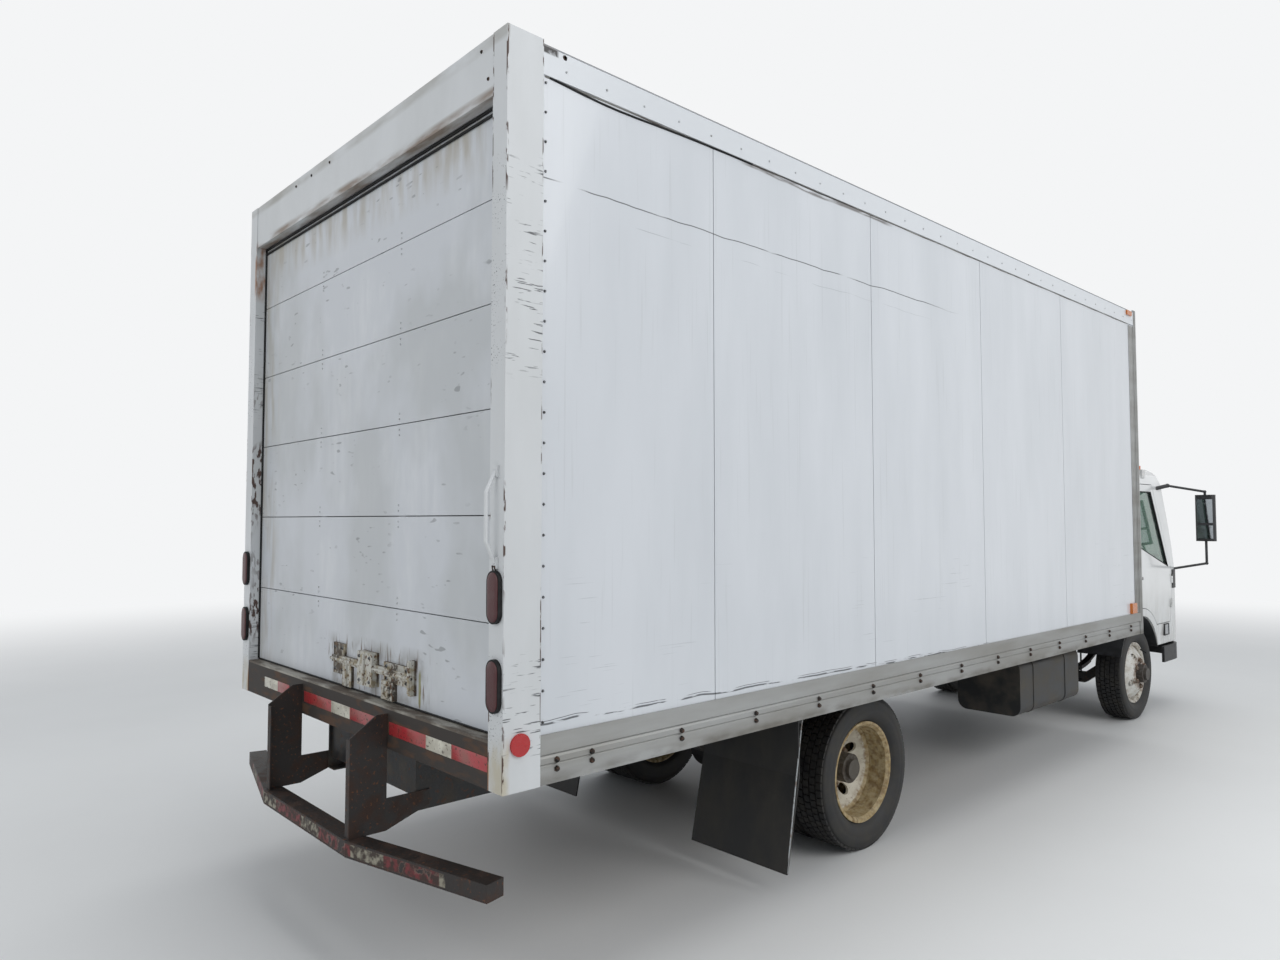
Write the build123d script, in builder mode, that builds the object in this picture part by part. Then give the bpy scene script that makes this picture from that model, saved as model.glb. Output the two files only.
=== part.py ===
"""Low-cab-forward box truck with a 20 ft dry freight body, closed, wheels straight.

Frame: the ground is z = 0, the front faces -Y, the right-hand side is -X and y = 0 is
half the overall length. All sizes are millimetres.
"""
from build123d import *
import os
from math import cos, pi, radians, sin, tan

os.makedirs("parts", exist_ok=True)

# Chassis, from the front bumper to the rear step.
WHEELBASE = 4400
FRONT_OVERHANG = 1190
REAR_OVERHANG = 2468
STEP_REACH = 165
FRAME_TOP = 790
FRAME_HALF = 425
RAIL_HEIGHT = 216
RAIL_FLANGE = 65
RAIL_WALL = 7

# Wheels: 225/70R19.5 tyres on 19.5 x 6.00 discs, twins at the rear.
TYRE_RADIUS = 402
TYRE_WIDTH = 226
RIM_RADIUS = 248
RIM_FLANGE = 264
RIM_WIDTH = 152
FRONT_TRACK = 1640
REAR_TRACK = 1570
TWIN_OFFSET = 126
HUB_BORE_GAP = 1

# Load body.
BOX_LENGTH = 6096
BOX_WIDTH = 2486
BOX_BASE = 848
BOX_TOP = 3439
FLOOR_TOP = 1010
DECK_THICK = 35
POST_DEPTH = 152
POST_FACE = 88
HEADER_HEIGHT = 219
STEEL_WALL = 5
LOWER_RAIL_HEIGHT = 170
UPPER_RAIL_HEIGHT = 125
LIP = 8
PANEL_THICK = 20
WALL_POST_DEPTH = 22
WALL_DEPTH = LIP + PANEL_THICK + WALL_POST_DEPTH
CORNER_POST = 95
NOSE_RADIUS = 42
SEAM_GAP = 4
FIRST_SEAM = 1035
SEAM_PITCH = 1184
SEAMS = 4
BOLT_PITCH = 450.5
FIRST_BEARER = 836
BEARERS = 12

# Roll-up door.
DOOR_RECESS = 56
DOOR_THICK = 18
DOOR_PANEL = 375
DOOR_PANELS = 6
DOOR_SEAL = 5

# Cab.
CAB_HALF = 990
CAB_BASE = 605
CAB_BELT = 1290
CAB_EAVES = 2090
CAB_TOP = 2270
CAB_BACK = 500
CAB_WALL = 45
CAB_CORNER = 330
NOSE_SETBACK = 30
RAKE = 17
ARCH_RADIUS = 500
FOOTWELL_FLOOR = 820
SEAT_FLOOR = 1010
SHEET = 30
SHUT_GAP = 6
GLASS = 5
EASE_STEPS = 3

# Places along the truck that the sizes above give.
FRONT_Y = -(FRONT_OVERHANG + WHEELBASE + REAR_OVERHANG + STEP_REACH) / 2
FRONT_AXLE = FRONT_Y + FRONT_OVERHANG
REAR_AXLE = FRONT_AXLE + WHEELBASE
BOX_REAR = REAR_AXLE + REAR_OVERHANG
BOX_FRONT = BOX_REAR - BOX_LENGTH
HALF = BOX_WIDTH / 2
FRAME_FRONT = FRONT_Y + 130
FRAME_REAR = BOX_REAR - 130
FRAME_BOTTOM = FRAME_TOP - RAIL_HEIGHT
CAB_FRONT = FRONT_Y + NOSE_SETBACK
CAB_REAR = FRONT_AXLE + CAB_BACK
POST_FRONT = BOX_REAR - POST_DEPTH
HEADER_LOW = BOX_TOP - HEADER_HEIGHT
SIDES = {"right": -1, "left": 1}


def across(x):
    """Plane whose sketch is (y, z), at the given x; extrudes towards +X."""
    return Plane.YZ.offset(x)


def along(y):
    """Plane whose sketch is (x, z), at the given y; extrudes forwards, towards -Y."""
    return Plane.XZ.offset(-y)


def level(z):
    """Plane whose sketch is (x, y), at the given height; extrudes upwards."""
    return Plane.XY.offset(z)


def block(xs, ys, zs, mode=Mode.ADD):
    """A plain block between two limits along each axis."""
    size = [abs(pair[1] - pair[0]) for pair in (xs, ys, zs)]
    middle = [(pair[1] + pair[0]) / 2 for pair in (xs, ys, zs)]
    with Locations(tuple(middle)):
        Box(*size, mode=mode)


def round_bar(start, end, radius, mode=Mode.ADD):
    """A round bar from one point to another."""
    path = Vector(*end) - Vector(*start)
    middle = Vector(*start) + path * 0.5
    with Locations(Plane(origin=middle, z_dir=path)):
        Cylinder(radius, path.length, mode=mode)


def finish(piece, name):
    """Label a finished piece and write it to its own file."""
    piece.part.label = name
    export_step(piece.part, f"parts/{name}.step")


# Chassis frame: two channel rails with open sides inwards, tied by crossmembers.
CROSSMEMBERS = (
    # distance behind the front axle, depth along the truck, height
    (-880, 90, 120),
    (900, 70, 80),
    (1500, 70, 120),
    (2600, 70, 120),
    (WHEELBASE - 620, 70, 120),
    (WHEELBASE + 620, 70, 120),
    (WHEELBASE + REAR_OVERHANG - 180, 70, 160),
)
with BuildPart() as frame_ladder:
    with BuildSketch(along(FRAME_REAR)):
        for side in SIDES.values():
            with Locations((side * (FRAME_HALF - RAIL_FLANGE / 2), FRAME_TOP - RAIL_HEIGHT / 2)):
                Rectangle(RAIL_FLANGE, RAIL_HEIGHT)
            inner = side * (FRAME_HALF - RAIL_WALL - RAIL_FLANGE / 2)
            with Locations((inner, FRAME_TOP - RAIL_HEIGHT / 2)):
                Rectangle(RAIL_FLANGE, RAIL_HEIGHT - 2 * RAIL_WALL, mode=Mode.SUBTRACT)
    extrude(amount=FRAME_REAR - FRAME_FRONT)
    for behind, depth, height in CROSSMEMBERS:
        y = FRONT_AXLE + behind
        top = FRAME_TOP - RAIL_WALL
        reach = FRAME_HALF - RAIL_WALL
        block((-reach, reach), (y - depth / 2, y + depth / 2), (top - height, top))
        inside = (y - depth / 2 + RAIL_WALL, y + depth / 2 - RAIL_WALL)
        block((-reach, reach), inside, (top - height, top - RAIL_WALL), mode=Mode.SUBTRACT)
finish(frame_ladder, "frame_ladder")


# Cab mounts: a pivot pin on each rail at the front, a hoop over the engine at the back.
TILT_Y = FRONT_Y + 150
TILT_Z = 640
PIVOT_RADIUS = 12
HOOP_TOP = SEAT_FLOOR - 6
with BuildPart() as cab_mounts:
    for side in SIDES.values():
        face = side * FRAME_HALF
        round_bar((face, TILT_Y, TILT_Z), (face + side * 17, TILT_Y, TILT_Z), 2 * PIVOT_RADIUS)
        round_bar((face, TILT_Y, TILT_Z), (face + side * 41, TILT_Y, TILT_Z), PIVOT_RADIUS)
        block((side * 370, side * 420), (CAB_REAR - 60, CAB_REAR - 20), (FRAME_TOP, HOOP_TOP))
    block((-420, 420), (CAB_REAR - 60, CAB_REAR - 20), (HOOP_TOP - 45, HOOP_TOP))
finish(cab_mounts, "cab_mounts")


# Engine as one plain block, and the gearbox with its propeller shafts to the rear axle.
ENGINE_HALF = 250
ENGINE_FRONT = FRONT_AXLE - 330
ENGINE_REAR = FRONT_AXLE + 470
ENGINE_BASE = 440
ENGINE_TOP = 950
SHAFT_Z = 560
PINION_Z = 440
with BuildPart() as engine_block:
    block((-ENGINE_HALF, ENGINE_HALF), (ENGINE_FRONT, ENGINE_REAR), (ENGINE_BASE, ENGINE_TOP))
finish(engine_block, "engine_block")

GEARBOX_REAR = ENGINE_REAR + 680
CENTRE_BEARING = FRONT_AXLE + 2560
PINION_FRONT = REAR_AXLE - 330
with BuildPart() as driveline:
    with BuildSketch(along(ENGINE_REAR)):
        with Locations((0, SHAFT_Z + 30)):
            Circle(210)
    with BuildSketch(along(ENGINE_REAR + 240)):
        with Locations((0, SHAFT_Z + 10)):
            Circle(150)
    loft()
    round_bar((0, ENGINE_REAR + 240, SHAFT_Z + 5), (0, GEARBOX_REAR - 60, SHAFT_Z + 5), 130)
    round_bar((0, GEARBOX_REAR - 60, SHAFT_Z), (0, GEARBOX_REAR, SHAFT_Z), 70)
    round_bar((0, GEARBOX_REAR, SHAFT_Z), (0, CENTRE_BEARING, SHAFT_Z), 45)
    round_bar((0, CENTRE_BEARING - 40, SHAFT_Z), (0, CENTRE_BEARING + 40, SHAFT_Z), 75)
    round_bar((0, CENTRE_BEARING, SHAFT_Z), (0, PINION_FRONT - 12, PINION_Z), 45)
    round_bar((0, PINION_FRONT - 24, PINION_Z), (0, PINION_FRONT, PINION_Z), 62)
finish(driveline, "driveline")


# Front axle: a dropped I-beam with a kingpin boss at each end.
KINGPIN_X = 730
KINGPIN_RADIUS = 19
BOSS_RADIUS = 38
BOSS_HALF = 52
BEAM_HEIGHT = 90
BEAM_DEPTH = 84
BEAM_DROP = 92
with BuildPart() as front_axle:
    with BuildSketch(along(FRONT_AXLE + BEAM_DEPTH / 2)):
        with BuildLine():
            ends = [(KINGPIN_X, 0), (KINGPIN_X - 110, 0), (KINGPIN_X - 230, -BEAM_DROP)]
            top = [(x, TYRE_RADIUS + rise + BEAM_HEIGHT / 2) for x, rise in ends]
            under = [(x, z - BEAM_HEIGHT) for x, z in reversed(top)]
            right_half = [(-x, z) for x, z in reversed(top)] + [(-x, z) for x, z in reversed(under)]
            Polyline(*(top + right_half + under), close=True)
        make_face()
    extrude(amount=BEAM_DEPTH)
    flute = KINGPIN_X - 250
    for face in (-1, 1):
        y = FRONT_AXLE + face * BEAM_DEPTH / 2
        depth = (y, y - face * 30)
        mid = TYRE_RADIUS - BEAM_DROP
        block((-flute, flute), depth, (mid - 28, mid + 28), mode=Mode.SUBTRACT)
    for side in SIDES.values():
        with Locations((side * KINGPIN_X, FRONT_AXLE, TYRE_RADIUS)):
            Cylinder(BOSS_RADIUS, 2 * BOSS_HALF)
            Cylinder(KINGPIN_RADIUS + 0.05, 2 * BOSS_HALF, mode=Mode.SUBTRACT)
finish(front_axle, "front_axle")


# Rear axle: banjo housing with the differential, and a tube out to each hub.
AXLE_TUBE = 62
SPINDLE_RADIUS = 45
SPINDLE_END = REAR_TRACK / 2 + 105
with BuildPart() as rear_axle:
    round_bar((-560, REAR_AXLE, TYRE_RADIUS), (560, REAR_AXLE, TYRE_RADIUS), AXLE_TUBE)
    round_bar((-SPINDLE_END, REAR_AXLE, TYRE_RADIUS), (SPINDLE_END, REAR_AXLE, TYRE_RADIUS), SPINDLE_RADIUS)
    round_bar((-120, REAR_AXLE, TYRE_RADIUS), (120, REAR_AXLE, TYRE_RADIUS), 190)
    for side in SIDES.values():
        with BuildSketch(across(side * 120)):
            with Locations((REAR_AXLE, TYRE_RADIUS)):
                Circle(190)
        with BuildSketch(across(side * 300)):
            with Locations((REAR_AXLE, TYRE_RADIUS)):
                Circle(AXLE_TUBE)
        loft()
    round_bar((0, REAR_AXLE, TYRE_RADIUS + 10), (0, PINION_FRONT + 30, PINION_Z), 80)
    round_bar((0, PINION_FRONT, PINION_Z), (0, PINION_FRONT + 50, PINION_Z), 62)
finish(rear_axle, "rear_axle")


# Leaf springs: one pack under each rail at both axles, each with its two hangers.
SPRING_X = FRAME_HALF - RAIL_FLANGE / 2
LEAF = 11
STACK = 2 * LEAF
SPRINGS = (
    # axle, half length, height of the eyes, height of the middle, leaf width
    (FRONT_AXLE, 600, FRAME_BOTTOM - 42, TYRE_RADIUS - BEAM_DROP + BEAM_HEIGHT / 2 + STACK, 60),
    (REAR_AXLE, 640, FRAME_BOTTOM - 42, TYRE_RADIUS + AXLE_TUBE + STACK, 60),
)
with BuildPart() as leaf_springs:
    for axle, half_length, eye_z, middle_z, width in SPRINGS:
        for side in SIDES.values():
            edge = side * SPRING_X - width / 2
            for step, share in enumerate((1.0, 0.78, 0.56)):
                low = -step * LEAF
                rise = (eye_z - middle_z) * share * share
                with BuildSketch(across(edge)):
                    with BuildLine():
                        back = (axle + half_length * share, middle_z + rise + low)
                        front = (axle - half_length * share, middle_z + rise + low)
                        ThreePointArc(front, (axle, middle_z + low), back)
                        Line(back, (back[0], back[1] + LEAF))
                        ThreePointArc((back[0], back[1] + LEAF), (axle, middle_z + low + LEAF),
                                      (front[0], front[1] + LEAF))
                        Line((front[0], front[1] + LEAF), front)
                    make_face()
                extrude(amount=width)
            for end in (-1, 1):
                y = axle + end * half_length
                round_bar((edge, y, eye_z + LEAF / 2), (edge + width, y, eye_z + LEAF / 2), 24)
                block((edge, edge + width), (y - 35, y + 35), (eye_z, FRAME_BOTTOM))
finish(leaf_springs, "leaf_springs")


# Fuel tank on the right, battery box on the left, exhaust with its silencer.
def strapped_box(xs, ys, zs, corner, straps):
    """A rounded sheet-metal box hung by straps from a bracket on the rail."""
    with BuildPart() as piece:
        block(xs, ys, zs)
        fillet(piece.edges().filter_by(Axis.Y), corner)
        for y in straps:
            with BuildSketch(along(y + 25)):
                with Locations(((xs[0] + xs[1]) / 2, (zs[0] + zs[1]) / 2)):
                    RectangleRounded(abs(xs[1] - xs[0]) + 8, zs[1] - zs[0] + 8, corner + 4)
            extrude(amount=50)
            rail_side = max(xs, key=lambda x: -abs(x))
            reach = FRAME_HALF * rail_side / abs(rail_side)
            block((reach, rail_side), (y - 25, y + 25), (zs[1] - 110, zs[1] - 60))
    return piece


TANK_INNER = FRAME_HALF + 8
fuel_tank = strapped_box((-TANK_INNER - 470, -TANK_INNER), (FRONT_AXLE + 1240, FRONT_AXLE + 2280),
                         (350, 745), 70, (FRONT_AXLE + 1480, FRONT_AXLE + 2040))
finish(fuel_tank, "fuel_tank")

with BuildPart() as battery_box:
    block((TANK_INNER, TANK_INNER + 420), (FRONT_AXLE + 1240, FRONT_AXLE + 1820), (430, 740))
    block((TANK_INNER, TANK_INNER + 430), (FRONT_AXLE + 1230, FRONT_AXLE + 1830), (640, 660))
    for behind in (1320, 1700):
        block((FRAME_HALF, TANK_INNER), (FRONT_AXLE + behind, FRONT_AXLE + behind + 50), (640, 730))
finish(battery_box, "battery_box")

SILENCER_X = 620
SILENCER_Z = 540
with BuildPart() as exhaust:
    round_bar((SILENCER_X, FRONT_AXLE + 2020, SILENCER_Z), (SILENCER_X, FRONT_AXLE + 2720, SILENCER_Z), 125)
    with BuildLine():
        FilletPolyline((SILENCER_X, FRONT_AXLE + 2720, SILENCER_Z),
                       (SILENCER_X, FRONT_AXLE + 3180, SILENCER_Z),
                       (HALF - 260, FRONT_AXLE + 3420, SILENCER_Z - 60),
                       (HALF - 110, FRONT_AXLE + 3420, SILENCER_Z - 60), radius=80)
    with BuildSketch(along(FRONT_AXLE + 2720)):
        with Locations((SILENCER_X, SILENCER_Z)):
            Circle(38)
    sweep()
    block((FRAME_HALF, SILENCER_X), (FRONT_AXLE + 2200, FRONT_AXLE + 2240), (SILENCER_Z + 60, SILENCER_Z + 90))
    block((FRAME_HALF, SILENCER_X), (FRONT_AXLE + 2500, FRONT_AXLE + 2540), (SILENCER_Z + 60, SILENCER_Z + 90))
finish(exhaust, "exhaust")


# Front bumper: a wrapped band on two brackets from the rails.
BUMPER_TOP = 583
BUMPER_BASE = 440
BUMPER_WALL = 22
BUMPER_HALF = CAB_HALF - 5
PLATE_SPACING = 178
PLATE_HOLE = 3.5
BUMPER_SIDE_END = FRONT_AXLE - ARCH_RADIUS - 50


def bumper_plan(inset):
    """Plan of the bumper, drawn in by the given amount, as a sketch at the bumper's base."""
    half = BUMPER_HALF - inset
    front = FRONT_Y + inset
    radius = CAB_CORNER - inset
    with BuildSketch(level(BUMPER_BASE)) as plan:
        with BuildLine():
            Polyline((-half + radius, front), (half - radius, front))
            RadiusArc((half - radius, front), (half, front + radius), -radius)
            Line((half, front + radius), (half, BUMPER_SIDE_END))
            Line((half, BUMPER_SIDE_END), (-half, BUMPER_SIDE_END))
            Line((-half, BUMPER_SIDE_END), (-half, front + radius))
            RadiusArc((-half, front + radius), (-half + radius, front), -radius)
        make_face()
    return plan.sketch


with BuildPart() as front_bumper:
    extrude(bumper_plan(0), amount=BUMPER_TOP - BUMPER_BASE)
    extrude(bumper_plan(BUMPER_WALL), amount=BUMPER_TOP - BUMPER_BASE, mode=Mode.SUBTRACT)
    for side in SIDES.values():
        inner = side * (FRAME_HALF - RAIL_FLANGE)
        block((inner, side * FRAME_HALF), (FRONT_Y + BUMPER_WALL - 2, FRAME_FRONT + 60),
              (BUMPER_BASE + 10, BUMPER_BASE + 72))
        block((inner, side * FRAME_HALF), (FRAME_FRONT + 10, FRAME_FRONT + 60), (BUMPER_BASE + 60, FRAME_BOTTOM))
        x = side * PLATE_SPACING / 2
        mid = (BUMPER_TOP + BUMPER_BASE) / 2
        round_bar((x, FRONT_Y - 5, mid), (x, FRONT_Y + BUMPER_WALL + 5, mid), PLATE_HOLE, mode=Mode.SUBTRACT)
finish(front_bumper, "front_bumper")


# Rear step: a channel with swept ends under two side plates hung from the frame.
STEP_TOP = 530
STEP_HEIGHT = 62
STEP_DEPTH = 80
STEP_HALF = 1140
STEP_BEND = 430
STEP_SWEEP = 175
STEP_WALL = 6
PLATE_TOP = 985
with BuildPart() as rear_step:
    rear = BOX_REAR + STEP_REACH
    with BuildSketch(level(STEP_TOP - STEP_HEIGHT)):
        with BuildLine():
            Polyline((-STEP_BEND, rear), (STEP_BEND, rear), (STEP_HALF, rear - STEP_SWEEP),
                     (STEP_HALF - 20, rear - STEP_SWEEP - STEP_DEPTH), (STEP_BEND, rear - STEP_DEPTH),
                     (-STEP_BEND, rear - STEP_DEPTH), (20 - STEP_HALF, rear - STEP_SWEEP - STEP_DEPTH),
                     (-STEP_HALF, rear - STEP_SWEEP), close=True)
        make_face()
    extrude(amount=STEP_HEIGHT)
    for side in SIDES.values():
        web = side * FRAME_HALF
        with BuildSketch(across(web)):
            with BuildLine():
                Polyline((FRAME_REAR - 60, FRAME_BOTTOM + 20), (BOX_REAR, STEP_TOP - 1), (rear - 12, STEP_TOP - 1),
                         (rear - 12, PLATE_TOP - 75), (BOX_REAR + 45, PLATE_TOP), (BOX_REAR - 1, PLATE_TOP),
                         (BOX_REAR - 1, BOX_BASE - 6), (BOX_REAR - 1, FRAME_BOTTOM + 80),
                         (FRAME_REAR - 60, FRAME_BOTTOM + 80), close=True)
            make_face()
        extrude(amount=side * STEP_WALL)
        block((web, web - side * 28), (rear - 12 - STEP_WALL, rear - 12), (STEP_TOP - 1, PLATE_TOP - 80))
finish(rear_step, "rear_step")


# Mud flaps behind the twin wheels, each on a bracket from the rail.
FLAP_Y = REAR_AXLE + 690
FLAP_THICK = 10
FLAP_OUTER = 1095
FLAP_INNER = 480
FLAP_BASE = 100
FLAP_BEND_Z = 530
FLAP_LEAN = 95
with BuildPart() as mud_flaps:
    for side in SIDES.values():
        with BuildSketch(across(side * FLAP_INNER)):
            with BuildLine():
                front = [(FLAP_Y, 820), (FLAP_Y, FLAP_BEND_Z), (FLAP_Y + FLAP_LEAN, FLAP_BASE)]
                back = [(y + FLAP_THICK, z) for y, z in reversed(front)]
                Polyline(*(front + back), close=True)
            make_face()
        extrude(amount=side * (FLAP_OUTER - FLAP_INNER))
        block((side * FRAME_HALF, side * FLAP_OUTER), (FLAP_Y - 30, FLAP_Y), (780, 820))
finish(mud_flaps, "mud_flaps")


# Load floor: deck on cross bearers, over two long sills that sit on the frame.
BEARER_HEIGHT = 100
BEARER_WIDTH = 50
DECK_BASE = FLOOR_TOP - DECK_THICK
BEARER_BASE = DECK_BASE - BEARER_HEIGHT
with BuildPart() as box_floor:
    inner = HALF - WALL_DEPTH
    block((-inner, inner), (BOX_FRONT + WALL_DEPTH, POST_FRONT), (DECK_BASE, FLOOR_TOP))
    for number in range(BEARERS):
        y = BOX_REAR - FIRST_BEARER - number * BOLT_PITCH
        block((-inner, inner), (y - BEARER_WIDTH / 2, y + BEARER_WIDTH / 2), (DECK_BASE - 5, DECK_BASE))
        block((-inner, inner), (y - 3, y + 3), (BEARER_BASE, DECK_BASE))
        block((-inner, inner), (y - BEARER_WIDTH / 2, y + BEARER_WIDTH / 2), (BEARER_BASE, BEARER_BASE + 5))
    for side in SIDES.values():
        xs = (side * (FRAME_HALF - RAIL_FLANGE), side * FRAME_HALF)
        block(xs, (BOX_FRONT + 60, POST_FRONT - 60), (FRAME_TOP, BEARER_BASE))
finish(box_floor, "box_floor")


# Aluminium edge frame of the load body: side rails, front rails and rounded front posts.
BAND_STEP = 5
GROOVE = 9


def lower_rail_profile(side):
    """Section of a lower side rail, its grooved face outwards."""
    top = BOX_BASE + LOWER_RAIL_HEIGHT
    shelf = FLOOR_TOP - 20
    face = [(HALF, top), (HALF, BOX_BASE + 104), (HALF - GROOVE, BOX_BASE + 96),
            (HALF - BAND_STEP, BOX_BASE + 88), (HALF - BAND_STEP, BOX_BASE + 70),
            (HALF - GROOVE, BOX_BASE + 66), (HALF - BAND_STEP, BOX_BASE + 62),
            (HALF - BAND_STEP, BOX_BASE)]
    back = [(HALF - WALL_DEPTH, BOX_BASE), (HALF - WALL_DEPTH, shelf), (HALF - LIP, shelf), (HALF - LIP, top)]
    return [(side * x, z) for x, z in face + back]


def upper_rail_profile(side):
    """Section of an upper side rail: a lip over the panels, a rounded shoulder, a roof flange."""
    low = BOX_TOP - UPPER_RAIL_HEIGHT
    points = [(HALF, low), (HALF, BOX_TOP - 22), (HALF - 22, BOX_TOP), (HALF - 90, BOX_TOP),
              (HALF - 90, BOX_TOP - 12), (HALF - WALL_DEPTH, BOX_TOP - 12),
              (HALF - WALL_DEPTH, low + 35), (HALF - LIP, low + 35), (HALF - LIP, low)]
    return [(side * x, z) for x, z in points]


with BuildPart() as box_edge_frame:
    for side in SIDES.values():
        with BuildSketch(along(POST_FRONT)):
            for profile in (lower_rail_profile(side), upper_rail_profile(side)):
                with BuildLine():
                    Polyline(*profile, close=True)
                make_face()
        extrude(amount=POST_FRONT - BOX_FRONT - CORNER_POST + 2)
        with BuildSketch(level(BOX_BASE)):
            with BuildLine():
                corner = side * (HALF - NOSE_RADIUS)
                nose = BOX_FRONT + NOSE_RADIUS
                Line((corner, BOX_FRONT), (side * (HALF - CORNER_POST), BOX_FRONT))
                Line((side * (HALF - CORNER_POST), BOX_FRONT),
                     (side * (HALF - CORNER_POST), BOX_FRONT + LIP))
                Polyline((side * (HALF - CORNER_POST), BOX_FRONT + LIP), (side * (HALF - 38), BOX_FRONT + LIP),
                         (side * (HALF - 38), BOX_FRONT + 38), (side * (HALF - LIP), BOX_FRONT + 38),
                         (side * (HALF - LIP), BOX_FRONT + CORNER_POST))
                Line((side * (HALF - LIP), BOX_FRONT + CORNER_POST), (side * HALF, BOX_FRONT + CORNER_POST))
                Line((side * HALF, BOX_FRONT + CORNER_POST), (side * HALF, nose))
                bulge = NOSE_RADIUS * (1 - cos(radians(45)))
                ThreePointArc((side * HALF, nose), (side * (HALF - bulge), BOX_FRONT + bulge), (corner, BOX_FRONT))
            make_face()
        extrude(amount=BOX_TOP - BOX_BASE)
        for ridge in (58, 74):
            xs = (side * (HALF - 2), side * (HALF + 0))
            block(xs, (BOX_FRONT + ridge, BOX_FRONT + ridge + 6), (BOX_BASE, BOX_TOP), mode=Mode.SUBTRACT)
    width = HALF - CORNER_POST + 2
    for low, high in ((BOX_BASE, FLOOR_TOP - 20), (BOX_TOP - 90, BOX_TOP)):
        block((-width, width), (BOX_FRONT, BOX_FRONT + WALL_DEPTH - 8), (low, high))
finish(box_edge_frame, "box_edge_frame")


# Walls: five panels a side, butted over inside posts, and the front wall.
PANEL_BASE = FLOOR_TOP - 18
PANEL_TOP = BOX_TOP - UPPER_RAIL_HEIGHT + 33
WALL_POST_WIDTH = 70
FRONT_WALL_POSTS = (-800, -400, 0, 400, 800)
with BuildPart() as box_walls:
    for side in SIDES.values():
        outer = side * (HALF - LIP)
        inner = side * (HALF - LIP - PANEL_THICK)
        wall_front = BOX_FRONT + 40
        block((outer, inner), (wall_front, POST_FRONT - 1), (PANEL_BASE, PANEL_TOP))
        for number in range(SEAMS):
            seam = BOX_REAR - FIRST_SEAM - number * SEAM_PITCH
            block((outer, inner), (seam - SEAM_GAP / 2, seam + SEAM_GAP / 2), (PANEL_BASE, PANEL_TOP),
                  mode=Mode.SUBTRACT)
            post = (seam - WALL_POST_WIDTH / 2, seam + WALL_POST_WIDTH / 2)
            block((inner, inner - side * WALL_POST_DEPTH), post, (FLOOR_TOP + 1, PANEL_TOP))
    ys = (BOX_FRONT + LIP, BOX_FRONT + LIP + PANEL_THICK)
    reach = HALF - 39
    block((-reach, reach), ys, (PANEL_BASE, BOX_TOP - 91))
    for x in FRONT_WALL_POSTS:
        block((x - 30, x + 30), (ys[1], ys[1] + WALL_POST_DEPTH), (FLOOR_TOP + 1, BOX_TOP - 91))
finish(box_walls, "box_walls")


# Roof: skin on cross bows.
ROOF_SKIN = 8
BOW_HEIGHT = 28
BOWS = 9
with BuildPart() as box_roof:
    reach = HALF - 91
    skin_top = BOX_TOP - 1
    block((-reach, reach), (BOX_FRONT + WALL_DEPTH - 8, POST_FRONT), (skin_top - ROOF_SKIN, skin_top))
    pitch = (POST_FRONT - BOX_FRONT) / (BOWS + 1)
    for number in range(BOWS):
        y = BOX_FRONT + pitch * (number + 1)
        low = skin_top - ROOF_SKIN - BOW_HEIGHT
        block((-reach - 40, reach + 40), (y - 25, y + 25), (low, low + BOW_HEIGHT - 8))
        block((-reach, reach), (y - 25, y + 25), (low + BOW_HEIGHT - 9, low + BOW_HEIGHT))
finish(box_roof, "box_roof")


# Rear frame: folded steel posts, header and sill in one welded portal.
POST_LEG = 50
SILL_DEPTH = 120
with BuildPart() as rear_frame:
    for side in SIDES.values():
        with BuildSketch(level(BOX_BASE)):
            with BuildLine():
                face = [(HALF, BOX_REAR), (HALF, POST_FRONT), (HALF - STEEL_WALL, POST_FRONT),
                        (HALF - STEEL_WALL, BOX_REAR - STEEL_WALL),
                        (HALF - POST_FACE + STEEL_WALL, BOX_REAR - STEEL_WALL),
                        (HALF - POST_FACE + STEEL_WALL, BOX_REAR - POST_LEG),
                        (HALF - POST_FACE, BOX_REAR - POST_LEG), (HALF - POST_FACE, BOX_REAR)]
                Polyline(*[(side * x, y) for x, y in face], close=True)
            make_face()
        extrude(amount=BOX_TOP - BOX_BASE)
    span = HALF - STEEL_WALL
    with BuildSketch(across(-span)):
        with BuildLine():
            Polyline((BOX_REAR - 3, HEADER_LOW), (BOX_REAR - 3, BOX_TOP), (POST_FRONT, BOX_TOP),
                     (POST_FRONT, BOX_TOP - STEEL_WALL), (BOX_REAR - 3 - STEEL_WALL, BOX_TOP - STEEL_WALL),
                     (BOX_REAR - 3 - STEEL_WALL, HEADER_LOW + STEEL_WALL),
                     (BOX_REAR - 45, HEADER_LOW + STEEL_WALL), (BOX_REAR - 45, HEADER_LOW), close=True)
        make_face()
        with BuildLine():
            Polyline((BOX_REAR - 2, BOX_BASE), (BOX_REAR - 2, FLOOR_TOP), (POST_FRONT, FLOOR_TOP),
                     (POST_FRONT, FLOOR_TOP - 8), (BOX_REAR - 10, FLOOR_TOP - 8), (BOX_REAR - 10, BOX_BASE + 8),
                     (BOX_REAR - SILL_DEPTH, BOX_BASE + 8), (BOX_REAR - SILL_DEPTH, BOX_BASE), close=True)
        make_face()
    extrude(amount=2 * span)
finish(rear_frame, "rear_frame")


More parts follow.
